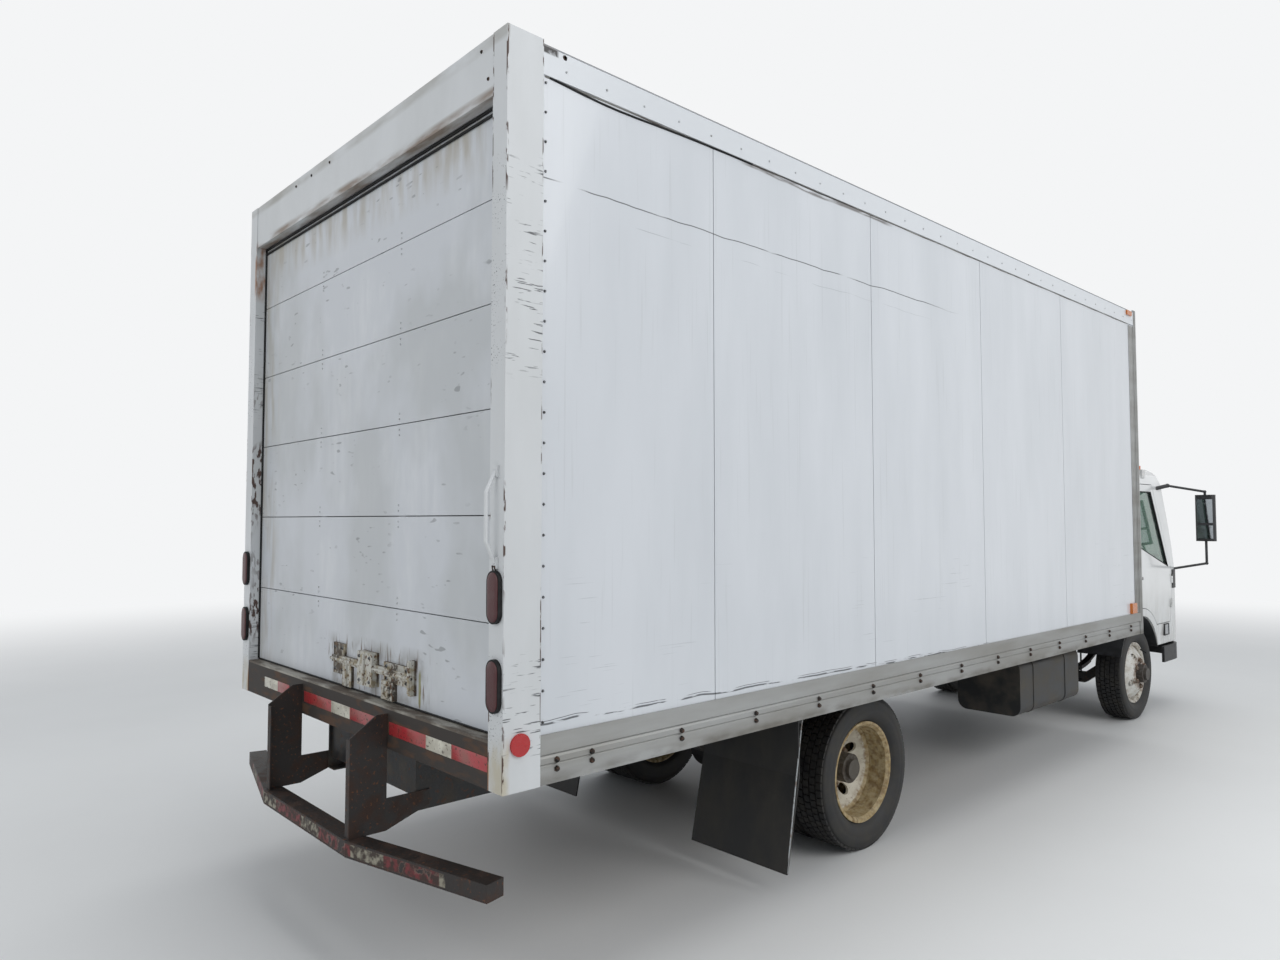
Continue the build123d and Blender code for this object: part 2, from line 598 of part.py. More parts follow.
# Roll-up door, closed: six panels joined by hinges, with rollers at its edges.
DOOR_FACE = BOX_REAR - DOOR_RECESS
DOOR_HALF = HALF - POST_FACE + 20
DOOR_BASE = FLOOR_TOP + DOOR_SEAL
HINGE_XS = (-DOOR_HALF + 40, -DOOR_HALF / 3, DOOR_HALF / 3, DOOR_HALF - 40)
TRACK_X = DOOR_HALF + 10
WALL_POST_FACE = HALF - LIP - PANEL_THICK - WALL_POST_DEPTH
ROLLER_RADIUS = 20
with BuildPart() as roll_up_door:
    block((-DOOR_HALF, DOOR_HALF), (DOOR_FACE - DOOR_THICK + 3, DOOR_FACE - 3), (FLOOR_TOP, DOOR_BASE))
    for number in range(DOOR_PANELS):
        low = DOOR_BASE + number * DOOR_PANEL
        block((-DOOR_HALF, DOOR_HALF), (DOOR_FACE - DOOR_THICK, DOOR_FACE),
              (low + (2 if number else 0), low + DOOR_PANEL - 2))
        if number:
            for x in HINGE_XS:
                back = DOOR_FACE - DOOR_THICK
                block((x - 30, x + 30), (back - 5, back), (low - 30, low + 30))
finish(roll_up_door, "roll_up_door")

with BuildPart() as door_gear:
    track_low = FLOOR_TOP + 20
    bend = 300
    turn_z = HEADER_LOW - bend + 60
    track_y = DOOR_FACE - DOOR_THICK - 30
    for side in SIDES.values():
        with BuildSketch(across(side * TRACK_X)):
            with BuildLine():
                outer = Polyline((track_y + 25, track_low), (track_y + 25, turn_z))
                ThreePointArc((track_y + 25, turn_z),
                              (track_y + 25 - (bend + 25) * (1 - cos(radians(45))),
                               turn_z + (bend + 25) * sin(radians(45))),
                              (track_y - bend, turn_z + bend + 25))
                Polyline((track_y - bend, turn_z + bend + 25), (track_y - 2200, turn_z + bend + 25),
                         (track_y - 2200, turn_z + bend - 25), (track_y - bend, turn_z + bend - 25))
                ThreePointArc((track_y - bend, turn_z + bend - 25),
                              (track_y - 25 - (bend - 25) * (1 - cos(radians(45))),
                               turn_z + (bend - 25) * sin(radians(45))),
                              (track_y - 25, turn_z))
                Polyline((track_y - 25, turn_z), (track_y - 25, track_low), (track_y + 25, track_low))
            make_face()
        extrude(amount=side * (WALL_POST_FACE - TRACK_X))
    shaft_y = DOOR_FACE - 150
    shaft_z = BOX_TOP - 110
    round_bar((-DOOR_HALF, shaft_y, shaft_z), (DOOR_HALF, shaft_y, shaft_z), 16)
    round_bar((-380, shaft_y, shaft_z), (380, shaft_y, shaft_z), 42)
    for side in SIDES.values():
        round_bar((side * (DOOR_HALF - 60), shaft_y, shaft_z), (side * (DOOR_HALF - 100), shaft_y, shaft_z), 52)
        xs = (side * (DOOR_HALF - 30), side * (DOOR_HALF - 20))
        block(xs, (shaft_y - 30, POST_FRONT + 45), (shaft_z - 30, shaft_z + 60))
        block(xs, (POST_FRONT + 5, POST_FRONT + 45), (shaft_z, BOX_TOP - STEEL_WALL))
finish(door_gear, "door_gear")


# Door latch: a slide bar through a bracket, a lock body and an end plate, with two catch legs.
LATCH_BOTTOM = FLOOR_TOP + 25
LATCH_PLATES = (
    # from x, to x, low edge, high edge, how far it stands off the door
    (75, 190, 30, 165, 10),
    (-240, -105, 20, 160, 34),
    (-560, -305, 55, 135, 12),
    (-560, -535, 30, 165, 26),
    (0, 85, -15, 95, 14),
    (-400, -300, -15, 60, 20),
)
LATCH_BAR = (-545, 180, 82, 112, 22)
with BuildPart() as door_latch:
    for left, right, low, high, proud in LATCH_PLATES + (LATCH_BAR,):
        block((left, right), (DOOR_FACE, DOOR_FACE + proud), (LATCH_BOTTOM + low, LATCH_BOTTOM + high))
finish(door_latch, "door_latch")


# Lamps of the load body, and the reflectors.
LAMP_X = HALF - POST_FACE / 2 - 2
TAIL_LAMPS = (1492, 1198)
with BuildPart() as tail_lamps:
    for side in SIDES.values():
        for z in TAIL_LAMPS:
            with BuildSketch(along(BOX_REAR + 14)):
                with Locations((side * LAMP_X, z)):
                    SlotOverall(178, 76, rotation=90)
            extrude(amount=14)
finish(tail_lamps, "tail_lamps")

MARKERS = (
    # distance behind the body's front, low edge, high edge, depth of the face it sits on
    (197, 1022, 1100, LIP),
    (150, BOX_TOP - 60, BOX_TOP - 24, 0),
)
with BuildPart() as marker_lamps:
    for side in SIDES.values():
        round_bar((side * HALF, BOX_REAR - 66, 1003), (side * (HALF + 9), BOX_REAR - 66, 1003), 38)
        for behind, low, high, sunk in MARKERS:
            y = BOX_FRONT + behind
            block((side * (HALF - sunk), side * (HALF + 12)), (y, y + 100), (low, high))
finish(marker_lamps, "marker_lamps")

HANDLE_STANDOFF = 42
HANDLE_LOW = 1607
HANDLE_HIGH = 1913
HANDLE_FOOT = 9
with BuildPart() as grab_handle:
    x = -LAMP_X
    foot = BOX_REAR + HANDLE_FOOT - 2
    bow = BOX_REAR + HANDLE_STANDOFF
    with BuildLine():
        Polyline((x, foot, HANDLE_LOW), (x, bow, HANDLE_LOW + 70), (x, bow, HANDLE_HIGH - 70), (x, foot, HANDLE_HIGH))
    with BuildSketch(Plane(origin=(x, foot, HANDLE_LOW), z_dir=(0, bow - foot, 70))):
        Circle(7)
    sweep(transition=Transition.ROUND)
    for z in (HANDLE_LOW, HANDLE_HIGH):
        block((x - 14, x + 14), (BOX_REAR, BOX_REAR + HANDLE_FOOT), (z - 20, z + 20))
finish(grab_handle, "grab_handle")


# Cab form: side profile, plan and front profile crossed, drawn in by an inset.
def cab_plan(inset, z):
    """Plan of the cab at a height: rounded front corners, open far behind the back wall."""
    front = CAB_FRONT + inset
    radius = CAB_CORNER - inset
    edge = CAB_HALF - inset
    far = CAB_REAR + 900
    with BuildSketch(level(z)) as plan:
        with BuildLine():
            Line((-edge + radius, front), (edge - radius, front))
            RadiusArc((edge - radius, front), (edge, front + radius), -radius)
            Line((edge, front + radius), (edge, far))
            Line((edge, far), (-edge, far))
            Line((-edge, far), (-edge, front + radius))
            RadiusArc((-edge, front + radius), (-edge + radius, front), -radius)
        make_face()
    return plan.sketch


def eased(corners):
    """Outline points from corners given as (across, up, ease): each eased corner becomes short chords."""
    points = []
    for number, (a, b, ease) in enumerate(corners):
        here = Vector(a, b)
        if not ease:
            points.append((a, b))
            continue
        before = Vector(*corners[number - 1][:2])
        after = Vector(*corners[(number + 1) % len(corners)][:2])
        start = here + (before - here).normalized() * ease
        stop = here + (after - here).normalized() * ease
        for step in range(EASE_STEPS + 1):
            t = step / EASE_STEPS
            point = start * (1 - t) ** 2 + here * (2 * t * (1 - t)) + stop * t ** 2
            points.append((point.X, point.Y))
    return points


def cab_side(inset):
    """Side profile of the cab: upright front, raked screen, rounded roof ends."""
    top = CAB_TOP - inset
    front = CAB_FRONT + inset
    rear = CAB_REAR - inset
    lean = tan(radians(RAKE))
    brow = front + (CAB_EAVES - CAB_BELT) * lean
    corners = [(front, CAB_BASE - 20, 0), (front, CAB_BELT, 18), (brow, CAB_EAVES, 34),
               (brow + 175, top - 16, 110), (brow + 560, top, 0), (rear - 330, top - 8, 0),
               (rear - 50, top - 50, 90), (rear, CAB_EAVES - 60, 50), (rear, CAB_BASE - 20, 0)]
    with BuildSketch(across(0)) as profile:
        with BuildLine():
            Polyline(*eased(corners), close=True)
        make_face()
    return profile.sketch


def cab_front(inset):
    """Front profile of the cab: tucked-in skirts, leaning windows, rounded roof edges."""
    half = CAB_HALF - inset
    top = CAB_TOP - inset
    right = [(half - 30, CAB_BASE - 20, 0), (half, CAB_BELT - 190, 0), (half, CAB_BELT, 18),
             (half - 75, CAB_EAVES, 34), (half - 155, top - 34, 75), (half - 420, top, 0)]
    left = [(-x, z, ease) for x, z, ease in reversed(right)]
    with BuildSketch(along(0)) as profile:
        with BuildLine():
            Polyline(*eased(right + left), close=True)
        make_face()
    return profile.sketch


def cab_form(inset):
    """The cab's closed form, drawn in on every side but the bottom."""
    with BuildPart() as form:
        extrude(cab_plan(inset, CAB_BASE), amount=CAB_BELT - CAB_BASE)
        lean = sin(radians(RAKE))
        extrude(cab_plan(inset, CAB_BELT), amount=(CAB_TOP - CAB_BELT + 40) / cos(radians(RAKE)),
                dir=(0, lean, cos(radians(RAKE))))
        extrude(cab_side(inset), amount=CAB_HALF + 50, both=True, mode=Mode.INTERSECT)
        extrude(cab_front(inset), amount=FRONT_Y * -2, both=True, mode=Mode.INTERSECT)
    return form.part


# Door outline and the window in it, as (y, z) points.
DOOR_FRONT = FRONT_AXLE - 780
DOOR_BACK = FRONT_AXLE + 250
DOOR_LOW = 800
DOOR_HEAD = CAB_EAVES - 15
DOOR_ARCH = ARCH_RADIUS + 70
HINGE_X = CAB_HALF + 2
HINGE_Y = DOOR_FRONT - 2
HINGE_RADIUS = 12
HINGE_LIFTS = (CAB_BELT - 360, CAB_BELT - 130)
BARREL = 40
WINDOW_MARGIN = 62
PILLAR_LEAN = tan(radians(RAKE))


def door_outline(grow):
    """Door's side outline, grown or shrunk all round."""
    arch_z = TYRE_RADIUS + (DOOR_ARCH - grow)
    front_top = DOOR_FRONT + (DOOR_HEAD - CAB_BELT) * PILLAR_LEAN
    with BuildSketch(across(0)) as outline:
        with BuildLine():
            Polyline((DOOR_FRONT - grow, DOOR_LOW - grow), (DOOR_FRONT - grow, CAB_BELT),
                     (front_top - grow, DOOR_HEAD + grow), (DOOR_BACK + grow, DOOR_HEAD + grow),
                     (DOOR_BACK + grow, DOOR_LOW - grow), close=True)
        make_face()
        with Locations((FRONT_AXLE, TYRE_RADIUS)):
            Circle(DOOR_ARCH - grow, mode=Mode.SUBTRACT)
    return outline.sketch


def window_outline(grow):
    """Side window: sill level behind, falling towards the front, front edge along the pillar."""
    low = CAB_BELT + 20 - grow
    high = DOOR_HEAD - WINDOW_MARGIN + grow
    front = DOOR_FRONT + WINDOW_MARGIN - grow
    back = DOOR_BACK - WINDOW_MARGIN + grow
    with BuildSketch(across(0)) as outline:
        with BuildLine():
            Polyline((front, low), (front + (high - low) * PILLAR_LEAN, high), (back, high),
                     (back, low + 185), (FRONT_AXLE - 60, low + 180), close=True)
        make_face()
    return outline.sketch


def hinge_barrels(side, lift, radius, mode=Mode.ADD):
    """One half of each of a door's hinges: a barrel on the door's axis, lifted by the given amount."""
    spare = radius - HINGE_RADIUS
    for z in HINGE_LIFTS:
        low = (side * HINGE_X, HINGE_Y, z + lift - spare)
        high = (side * HINGE_X, HINGE_Y, z + lift + BARREL + spare)
        round_bar(low, high, radius, mode=mode)


outer_form = cab_form(0)
inner_form = cab_form(CAB_WALL)
GLASS_INSET = 16
glass_out = cab_form(GLASS_INSET)
glass_in = cab_form(GLASS_INSET + GLASS)
CAB_MIDDLE = (CAB_FRONT + CAB_REAR) / 2
CAB_REACH = CAB_REAR - CAB_FRONT
SCREEN_LOW = CAB_BELT + 25
SCREEN_HIGH = CAB_EAVES - 35
SCREEN_HALF = 850


def screen_outline(grow):
    """Windscreen opening seen from the front."""
    with BuildSketch(along(CAB_MIDDLE)) as outline:
        with BuildLine():
            right = [(SCREEN_HALF + grow, SCREEN_LOW - grow), (SCREEN_HALF - 55 + grow, SCREEN_HIGH + grow)]
            left = [(-x, z) for x, z in reversed(right)]
            Polyline(*(right + left), close=True)
        make_face()
    return outline.sketch


def back_window_outline(grow):
    """Window in the back wall, seen from behind."""
    with BuildSketch(along(CAB_MIDDLE)) as outline:
        with Locations((0, 1720)):
            RectangleRounded(1100 + 2 * grow, 400 + 2 * grow, 60 + grow)
    return outline.sketch


def pane(outline, amount):
    """A pane that follows the cab's skin inside an outline carried across or along the cab."""
    with BuildPart() as piece:
        add(glass_out)
        add(glass_in, mode=Mode.SUBTRACT)
        extrude(outline, amount=amount, mode=Mode.INTERSECT)
    return piece.part


PANE_LAP = 12
windscreen_pane = pane(screen_outline(PANE_LAP), CAB_REACH)
back_pane = pane(back_window_outline(PANE_LAP), -CAB_REACH)
side_panes = {side: pane(window_outline(PANE_LAP), side * (CAB_HALF + 50)) for side in SIDES.values()}

with BuildPart() as cab_glass:
    add(windscreen_pane)
    add(back_pane)
finish(cab_glass, "cab_glass")

for name, side in SIDES.items():
    with BuildPart() as door_glass:
        add(side_panes[side])
    finish(door_glass, f"door_glass_{name}")

# Lamps and grille are let into the cab's front, so their outlines come first.
GRILLE_HALF = 520
GRILLE_LOW = 870
GRILLE_HIGH = 1090
GRILLE_DEPTH = 24
HEADLAMP_INNER = 580
HEADLAMP_OUTER = 900
HEADLAMP_LOW = 665
HEADLAMP_HIGH = FOOTWELL_FLOOR - 5


def headlamp_outline(grow):
    """Both headlamps seen from the front, slanted along their inner ends."""
    with BuildSketch(along(CAB_MIDDLE)) as outline:
        for side in SIDES.values():
            with BuildLine():
                points = [(HEADLAMP_INNER - grow, HEADLAMP_LOW - grow), (HEADLAMP_OUTER + grow, HEADLAMP_LOW - grow),
                          (HEADLAMP_OUTER + grow, HEADLAMP_HIGH + grow),
                          (HEADLAMP_INNER + 60 - grow, HEADLAMP_HIGH + grow)]
                Polyline(*[(side * x, z) for x, z in points], close=True)
            make_face()
    return outline.sketch


with BuildPart() as cab_shell:
    add(outer_form)
    add(inner_form, mode=Mode.SUBTRACT)
    for side in SIDES.values():
        extrude(door_outline(SHUT_GAP), amount=side * (CAB_HALF + 50), mode=Mode.SUBTRACT)
        round_bar((side * 560, FRONT_AXLE, TYRE_RADIUS), (side * (CAB_HALF + 50), FRONT_AXLE, TYRE_RADIUS),
                  ARCH_RADIUS, mode=Mode.SUBTRACT)
    extrude(screen_outline(0), amount=CAB_REACH, mode=Mode.SUBTRACT)
    extrude(back_window_outline(0), amount=-CAB_REACH, mode=Mode.SUBTRACT)
    extrude(headlamp_outline(0), amount=CAB_REACH, mode=Mode.SUBTRACT)
    add(windscreen_pane, mode=Mode.SUBTRACT)
    add(back_pane, mode=Mode.SUBTRACT)
    block((-GRILLE_HALF, GRILLE_HALF), (CAB_FRONT - 5, CAB_FRONT + GRILLE_DEPTH), (GRILLE_LOW, GRILLE_HIGH),
          mode=Mode.SUBTRACT)
    block((-CAB_HALF - 10, CAB_HALF + 10), (FRONT_AXLE + 60, CAB_REAR + 10),
          (CAB_BASE - 50, TYRE_RADIUS + ARCH_RADIUS), mode=Mode.SUBTRACT)
    block((-760, 760), (FRONT_AXLE + 60, CAB_REAR + 10), (CAB_BASE - 50, SEAT_FLOOR), mode=Mode.SUBTRACT)
    for side in SIDES.values():
        hinge_barrels(side, BARREL + 2, HINGE_RADIUS + 2, mode=Mode.SUBTRACT)
        hinge_barrels(side, 0, HINGE_RADIUS)
finish(cab_shell, "cab_shell")

HANDLE_Y = DOOR_BACK - 130
for name, side in SIDES.items():
    with BuildPart() as cab_door:
        add(outer_form)
        add(inner_form, mode=Mode.SUBTRACT)
        extrude(door_outline(0), amount=side * (CAB_HALF + 50), mode=Mode.INTERSECT)
        extrude(window_outline(0), amount=side * (CAB_HALF + 50), mode=Mode.SUBTRACT)
        add(side_panes[side], mode=Mode.SUBTRACT)
        block((side * (CAB_HALF - 2), side * (CAB_HALF + 22)), (HANDLE_Y - 80, HANDLE_Y + 80),
              (CAB_BELT - 65, CAB_BELT - 40))
        hinge_barrels(side, 0, HINGE_RADIUS + 2, mode=Mode.SUBTRACT)
        hinge_barrels(side, BARREL + 2, HINGE_RADIUS)
    finish(cab_door, f"cab_door_{name}")

# Cab floor: footwell, riser and seat platform in one stepped sheet, and the wheel arch liners.
RISER_Y = FRONT_AXLE - ARCH_RADIUS - 60
with BuildPart() as cab_floor:
    with BuildSketch(across(-CAB_HALF)):
        with BuildLine():
            Polyline((CAB_FRONT, FOOTWELL_FLOOR), (RISER_Y, FOOTWELL_FLOOR), (RISER_Y, SEAT_FLOOR),
                     (CAB_REAR, SEAT_FLOOR), (CAB_REAR, SEAT_FLOOR + SHEET),
                     (RISER_Y - SHEET, SEAT_FLOOR + SHEET), (RISER_Y - SHEET, FOOTWELL_FLOOR + SHEET),
                     (CAB_FRONT, FOOTWELL_FLOOR + SHEET), close=True)
        make_face()
    extrude(amount=2 * CAB_HALF)
    add(inner_form, mode=Mode.INTERSECT)
    for side in SIDES.values():
        near = side * (FRAME_HALF + 18)
        far = near + side * 20
        block((near, far), (TILT_Y - 26, TILT_Y + 26), (TILT_Z, FOOTWELL_FLOOR + 5))
        round_bar((near, TILT_Y, TILT_Z), (far, TILT_Y, TILT_Z), 26)
        round_bar((near, TILT_Y, TILT_Z), (far, TILT_Y, TILT_Z), PIVOT_RADIUS + 0.05, mode=Mode.SUBTRACT)
finish(cab_floor, "cab_floor")

LINER = 8
LINER_INNER = 600
LINER_LOW = 590
with BuildPart() as arch_liners:
    for side in SIDES.values():
        with BuildSketch(across(side * LINER_INNER)):
            with Locations((FRONT_AXLE, TYRE_RADIUS)):
                Circle(ARCH_RADIUS)
                Circle(ARCH_RADIUS - LINER, mode=Mode.SUBTRACT)
            with Locations((FRONT_AXLE, LINER_LOW - 500)):
                Rectangle(3 * ARCH_RADIUS, 1000, mode=Mode.SUBTRACT)
        extrude(amount=side * (CAB_HALF - 34 - LINER_INNER))
finish(arch_liners, "arch_liners")

with BuildPart() as cab_lamps:
    add(outer_form)
    add(inner_form, mode=Mode.SUBTRACT)
    extrude(headlamp_outline(-1), amount=CAB_REACH, mode=Mode.INTERSECT)
    for side in SIDES.values():
        reach = CAB_HALF - 26
        block((side * (reach - 12), side * (reach + 14)), (FRONT_AXLE - 715, FRONT_AXLE - 600), (685, 782))
    add(cab_shell.part, mode=Mode.SUBTRACT)
finish(cab_lamps, "cab_lamps")

with BuildPart() as grille:
    xs = (-GRILLE_HALF, GRILLE_HALF)
    block(xs, (CAB_FRONT + GRILLE_DEPTH - 6, CAB_FRONT + GRILLE_DEPTH), (GRILLE_LOW, GRILLE_HIGH))
    slats = 4
    pitch = (GRILLE_HIGH - GRILLE_LOW) / slats
    for number in range(slats + 1):
        z = GRILLE_LOW + number * pitch
        low = min(max(z - 9, GRILLE_LOW), GRILLE_HIGH - 18)
        block(xs, (CAB_FRONT - 3, CAB_FRONT + GRILLE_DEPTH - 6), (low, low + 18))
    for x in (-GRILLE_HALF + 9, 0, GRILLE_HALF - 9):
        block((x - 9, x + 9), (CAB_FRONT + 2, CAB_FRONT + GRILLE_DEPTH - 6), (GRILLE_LOW, GRILLE_HIGH))
finish(grille, "grille")

# Inside the cab: dashboard with the steering column, seats, steering wheel.
DRIVER_X = CAB_HALF - 490
WHEEL_CENTRE = (DRIVER_X, FRONT_AXLE - 490, CAB_BELT + 140)
COLUMN_LEAN = 38
COLUMN_AXIS = (0, sin(radians(COLUMN_LEAN)), cos(radians(COLUMN_LEAN)))
WHEEL_RADIUS = 215
DASH_TOP = CAB_BELT - 5
DASH_BACK = CAB_FRONT + 400


def on_column(distance):
    """Point on the steering column's axis, counted down from the wheel's centre."""
    return tuple(c - distance * a for c, a in zip(WHEEL_CENTRE, COLUMN_AXIS))


with BuildPart() as dashboard:
    with BuildSketch(across(-CAB_HALF)):
        with BuildLine():
            Polyline((CAB_FRONT, DASH_TOP), (DASH_BACK - 60, DASH_TOP), (DASH_BACK, DASH_TOP - 50),
                     (DASH_BACK - 40, 1040), (DASH_BACK - 150, 1000), (CAB_FRONT, 1000), close=True)
        make_face()
    extrude(amount=2 * CAB_HALF)
    add(inner_form, mode=Mode.INTERSECT)
    for side in SIDES.values():
        block((side * (CAB_HALF - CAB_WALL - 14), side * CAB_HALF), (CAB_FRONT, CAB_REAR), (900, 1400),
              mode=Mode.SUBTRACT)
    block((DRIVER_X - 170, DRIVER_X + 170), (DASH_BACK - 100, DASH_BACK + 130), (DASH_TOP - 205, DASH_TOP + 35))
    round_bar(on_column(70), on_column(330), 38)
    round_bar(on_column(60), on_column(180), 10.05, mode=Mode.SUBTRACT)
finish(dashboard, "dashboard")

with BuildPart() as flat_wheel:
    with BuildSketch(Plane.XZ):
        with Locations((WHEEL_RADIUS, 0)):
            RegularPolygon(14, 8)
    revolve(axis=Axis.Z)
    with Locations((0, 0, -20)):
        Cylinder(52, 40)
    with Locations((0, 0, -90)):
        Cylinder(10, 120)
    for turn in (90, 210, 330):
        with Locations(Location((0, 0, -6), (0, 0, turn))):
            Box(WHEEL_RADIUS, 34, 12, align=(Align.MIN, Align.CENTER, Align.CENTER))
column_plane = Plane(origin=WHEEL_CENTRE, x_dir=(1, 0, 0), z_dir=COLUMN_AXIS)
with BuildPart() as steering_wheel:
    add(flat_wheel.part.moved(column_plane.location))
finish(steering_wheel, "steering_wheel")

SEATS = (
    # middle x, width
    (DRIVER_X, 490),
    (-330, 900),
)
SEAT_TOP = SEAT_FLOOR + SHEET
CUSHION = 130
with BuildPart() as seats:
    for middle, width in SEATS:
        xs = (middle - width / 2, middle + width / 2)
        block(xs, (FRONT_AXLE - 330, FRONT_AXLE + 180), (SEAT_TOP, SEAT_TOP + CUSHION))
        with BuildSketch(across(xs[0])):
            with BuildLine():
                Polyline((FRONT_AXLE + 130, SEAT_TOP + CUSHION - 10), (FRONT_AXLE + 250, SEAT_TOP + CUSHION - 10),
                         (FRONT_AXLE + 400, SEAT_TOP + 700), (FRONT_AXLE + 310, SEAT_TOP + 710), close=True)
            make_face()
        extrude(amount=width)
finish(seats, "seats")

# Mirrors on tube arms, with a moulding on each front corner below the pillar.
MIRROR_X = CAB_HALF + 231
MIRROR_Y = FRONT_AXLE - 1032
MIRROR_LOW = 1550
MIRROR_HIGH = 1988
MIRROR_WIDTH = 164
ARM_RADIUS = 11
corner_skin = cab_form(-8)
with BuildPart() as corner_mouldings:
    add(corner_skin)
    add(outer_form, mode=Mode.SUBTRACT)
    with BuildSketch(across(-CAB_HALF - 50)):
        with BuildLine():
            Polyline((FRONT_AXLE - 990, CAB_BELT - 180), (FRONT_AXLE - 800, CAB_BELT - 180),
                     (FRONT_AXLE - 800, CAB_BELT - 6), (FRONT_AXLE - 990, CAB_BELT - 6), close=True)
        make_face()
    extrude(amount=2 * CAB_HALF + 100, mode=Mode.INTERSECT)
finish(corner_mouldings, "corner_mouldings")

with BuildPart() as mirrors:
    for side in SIDES.values():
        top_foot = (side * (CAB_HALF - 95), FRONT_AXLE - 640, 2040)
        top_elbow = (side * (CAB_HALF - 10), MIRROR_Y + 250, 2075)
        top_end = (side * MIRROR_X, MIRROR_Y, 2018)
        low_end = (side * MIRROR_X, MIRROR_Y, 1342)
        low_foot = (side * (CAB_HALF - 60), FRONT_AXLE - 900, 1278)
        round_bar(top_foot, top_elbow, ARM_RADIUS + 7)
        round_bar(top_elbow, top_end, ARM_RADIUS)
        round_bar(top_end, low_end, ARM_RADIUS)
        round_bar(low_end, low_foot, ARM_RADIUS)
        with Locations(top_elbow):
            Sphere(ARM_RADIUS + 9)
        with Locations(top_end, low_end):
            Sphere(ARM_RADIUS + 3)
        with BuildSketch(level(MIRROR_LOW)):
            with Locations((side * MIRROR_X, MIRROR_Y - 8)):
                RectangleRounded(MIRROR_WIDTH, 76, 30)
        extrude(amount=MIRROR_HIGH - MIRROR_LOW)
        glass_face = MIRROR_Y + 30
        for low, high in ((MIRROR_LOW + 24, MIRROR_LOW + 150), (MIRROR_LOW + 172, MIRROR_HIGH - 42)):
            block((side * MIRROR_X - 66, side * MIRROR_X + 66), (glass_face - 10, glass_face + 2), (low, high),
                  mode=Mode.SUBTRACT)
    add(outer_form, mode=Mode.SUBTRACT)
    add(corner_mouldings.part, mode=Mode.SUBTRACT)
finish(mirrors, "mirrors")

with BuildPart() as mirror_glass:
    for side in SIDES.values():
        for low, high in ((MIRROR_LOW + 24, MIRROR_LOW + 150), (MIRROR_LOW + 172, MIRROR_HIGH - 42)):
            block((side * MIRROR_X - 65, side * MIRROR_X + 65), (glass_face - 10, glass_face - 4),
                  (low + 1, high - 1))
finish(mirror_glass, "mirror_glass")

# Wipers parked low on the windscreen, roof lamps and the whip aerial.
def on_screen(x, z, proud):
    """Point in front of the windscreen's glass at the given x and height."""
    y = CAB_FRONT + GLASS_INSET + (z - CAB_BELT) * PILLAR_LEAN - proud
    return (x, y, z)


WIPERS = (
    # foot, tip
    ((-180, SCREEN_LOW - 10), (-780, SCREEN_LOW + 90)),
    ((420, SCREEN_LOW - 10), (-150, SCREEN_LOW + 110)),
)
with BuildPart() as wipers:
    for foot, tip in WIPERS:
        middle = [(a + b) / 2 for a, b in zip(foot, tip)]
        round_bar(on_screen(*foot, 26), on_screen(*middle, 22), 8)
        start = [m + (f - m) * 0.9 for m, f in zip(middle, foot)]
        round_bar(on_screen(*start, 9), on_screen(*tip, 9), 8)
        with Locations(on_screen(*foot, 15)):
            Sphere(22)
        with Locations(on_screen(*middle, 15)):
            Sphere(16)
    add(outer_form, mode=Mode.SUBTRACT)
finish(wipers, "wipers")

ROOF_LAMPS = (
    # x, distance behind the front axle's line
    (0, -560), (170, -560), (-170, -560), (840, -400), (-840, -400),
)
with BuildPart() as roof_lamps:
    for x, behind in ROOF_LAMPS:
        y = FRONT_AXLE + behind
        base = CAB_TOP - 10 if abs(x) < 500 else CAB_TOP - 70
        block((x - 55, x + 55), (y - 38, y + 38), (base - 60, base + 16))
        with Locations((x, y, base + 16)):
            Cylinder(32, 36, align=(Align.CENTER, Align.CENTER, Align.MIN))
    add(outer_form, mode=Mode.SUBTRACT)
finish(roof_lamps, "roof_lamps")

AERIAL_X = 125 - CAB_HALF
AERIAL_TOP = CAB_TOP + 630
AERIAL_Y = FRONT_AXLE - 290
with BuildPart() as aerial:
    round_bar((AERIAL_X, AERIAL_Y, CAB_EAVES + 50), (AERIAL_X, AERIAL_Y + 8, CAB_TOP - 20), 14)
    round_bar((AERIAL_X, AERIAL_Y + 8, CAB_TOP - 20), (AERIAL_X, AERIAL_Y + 70, AERIAL_TOP), 4)
    add(outer_form, mode=Mode.SUBTRACT)
finish(aerial, "aerial")

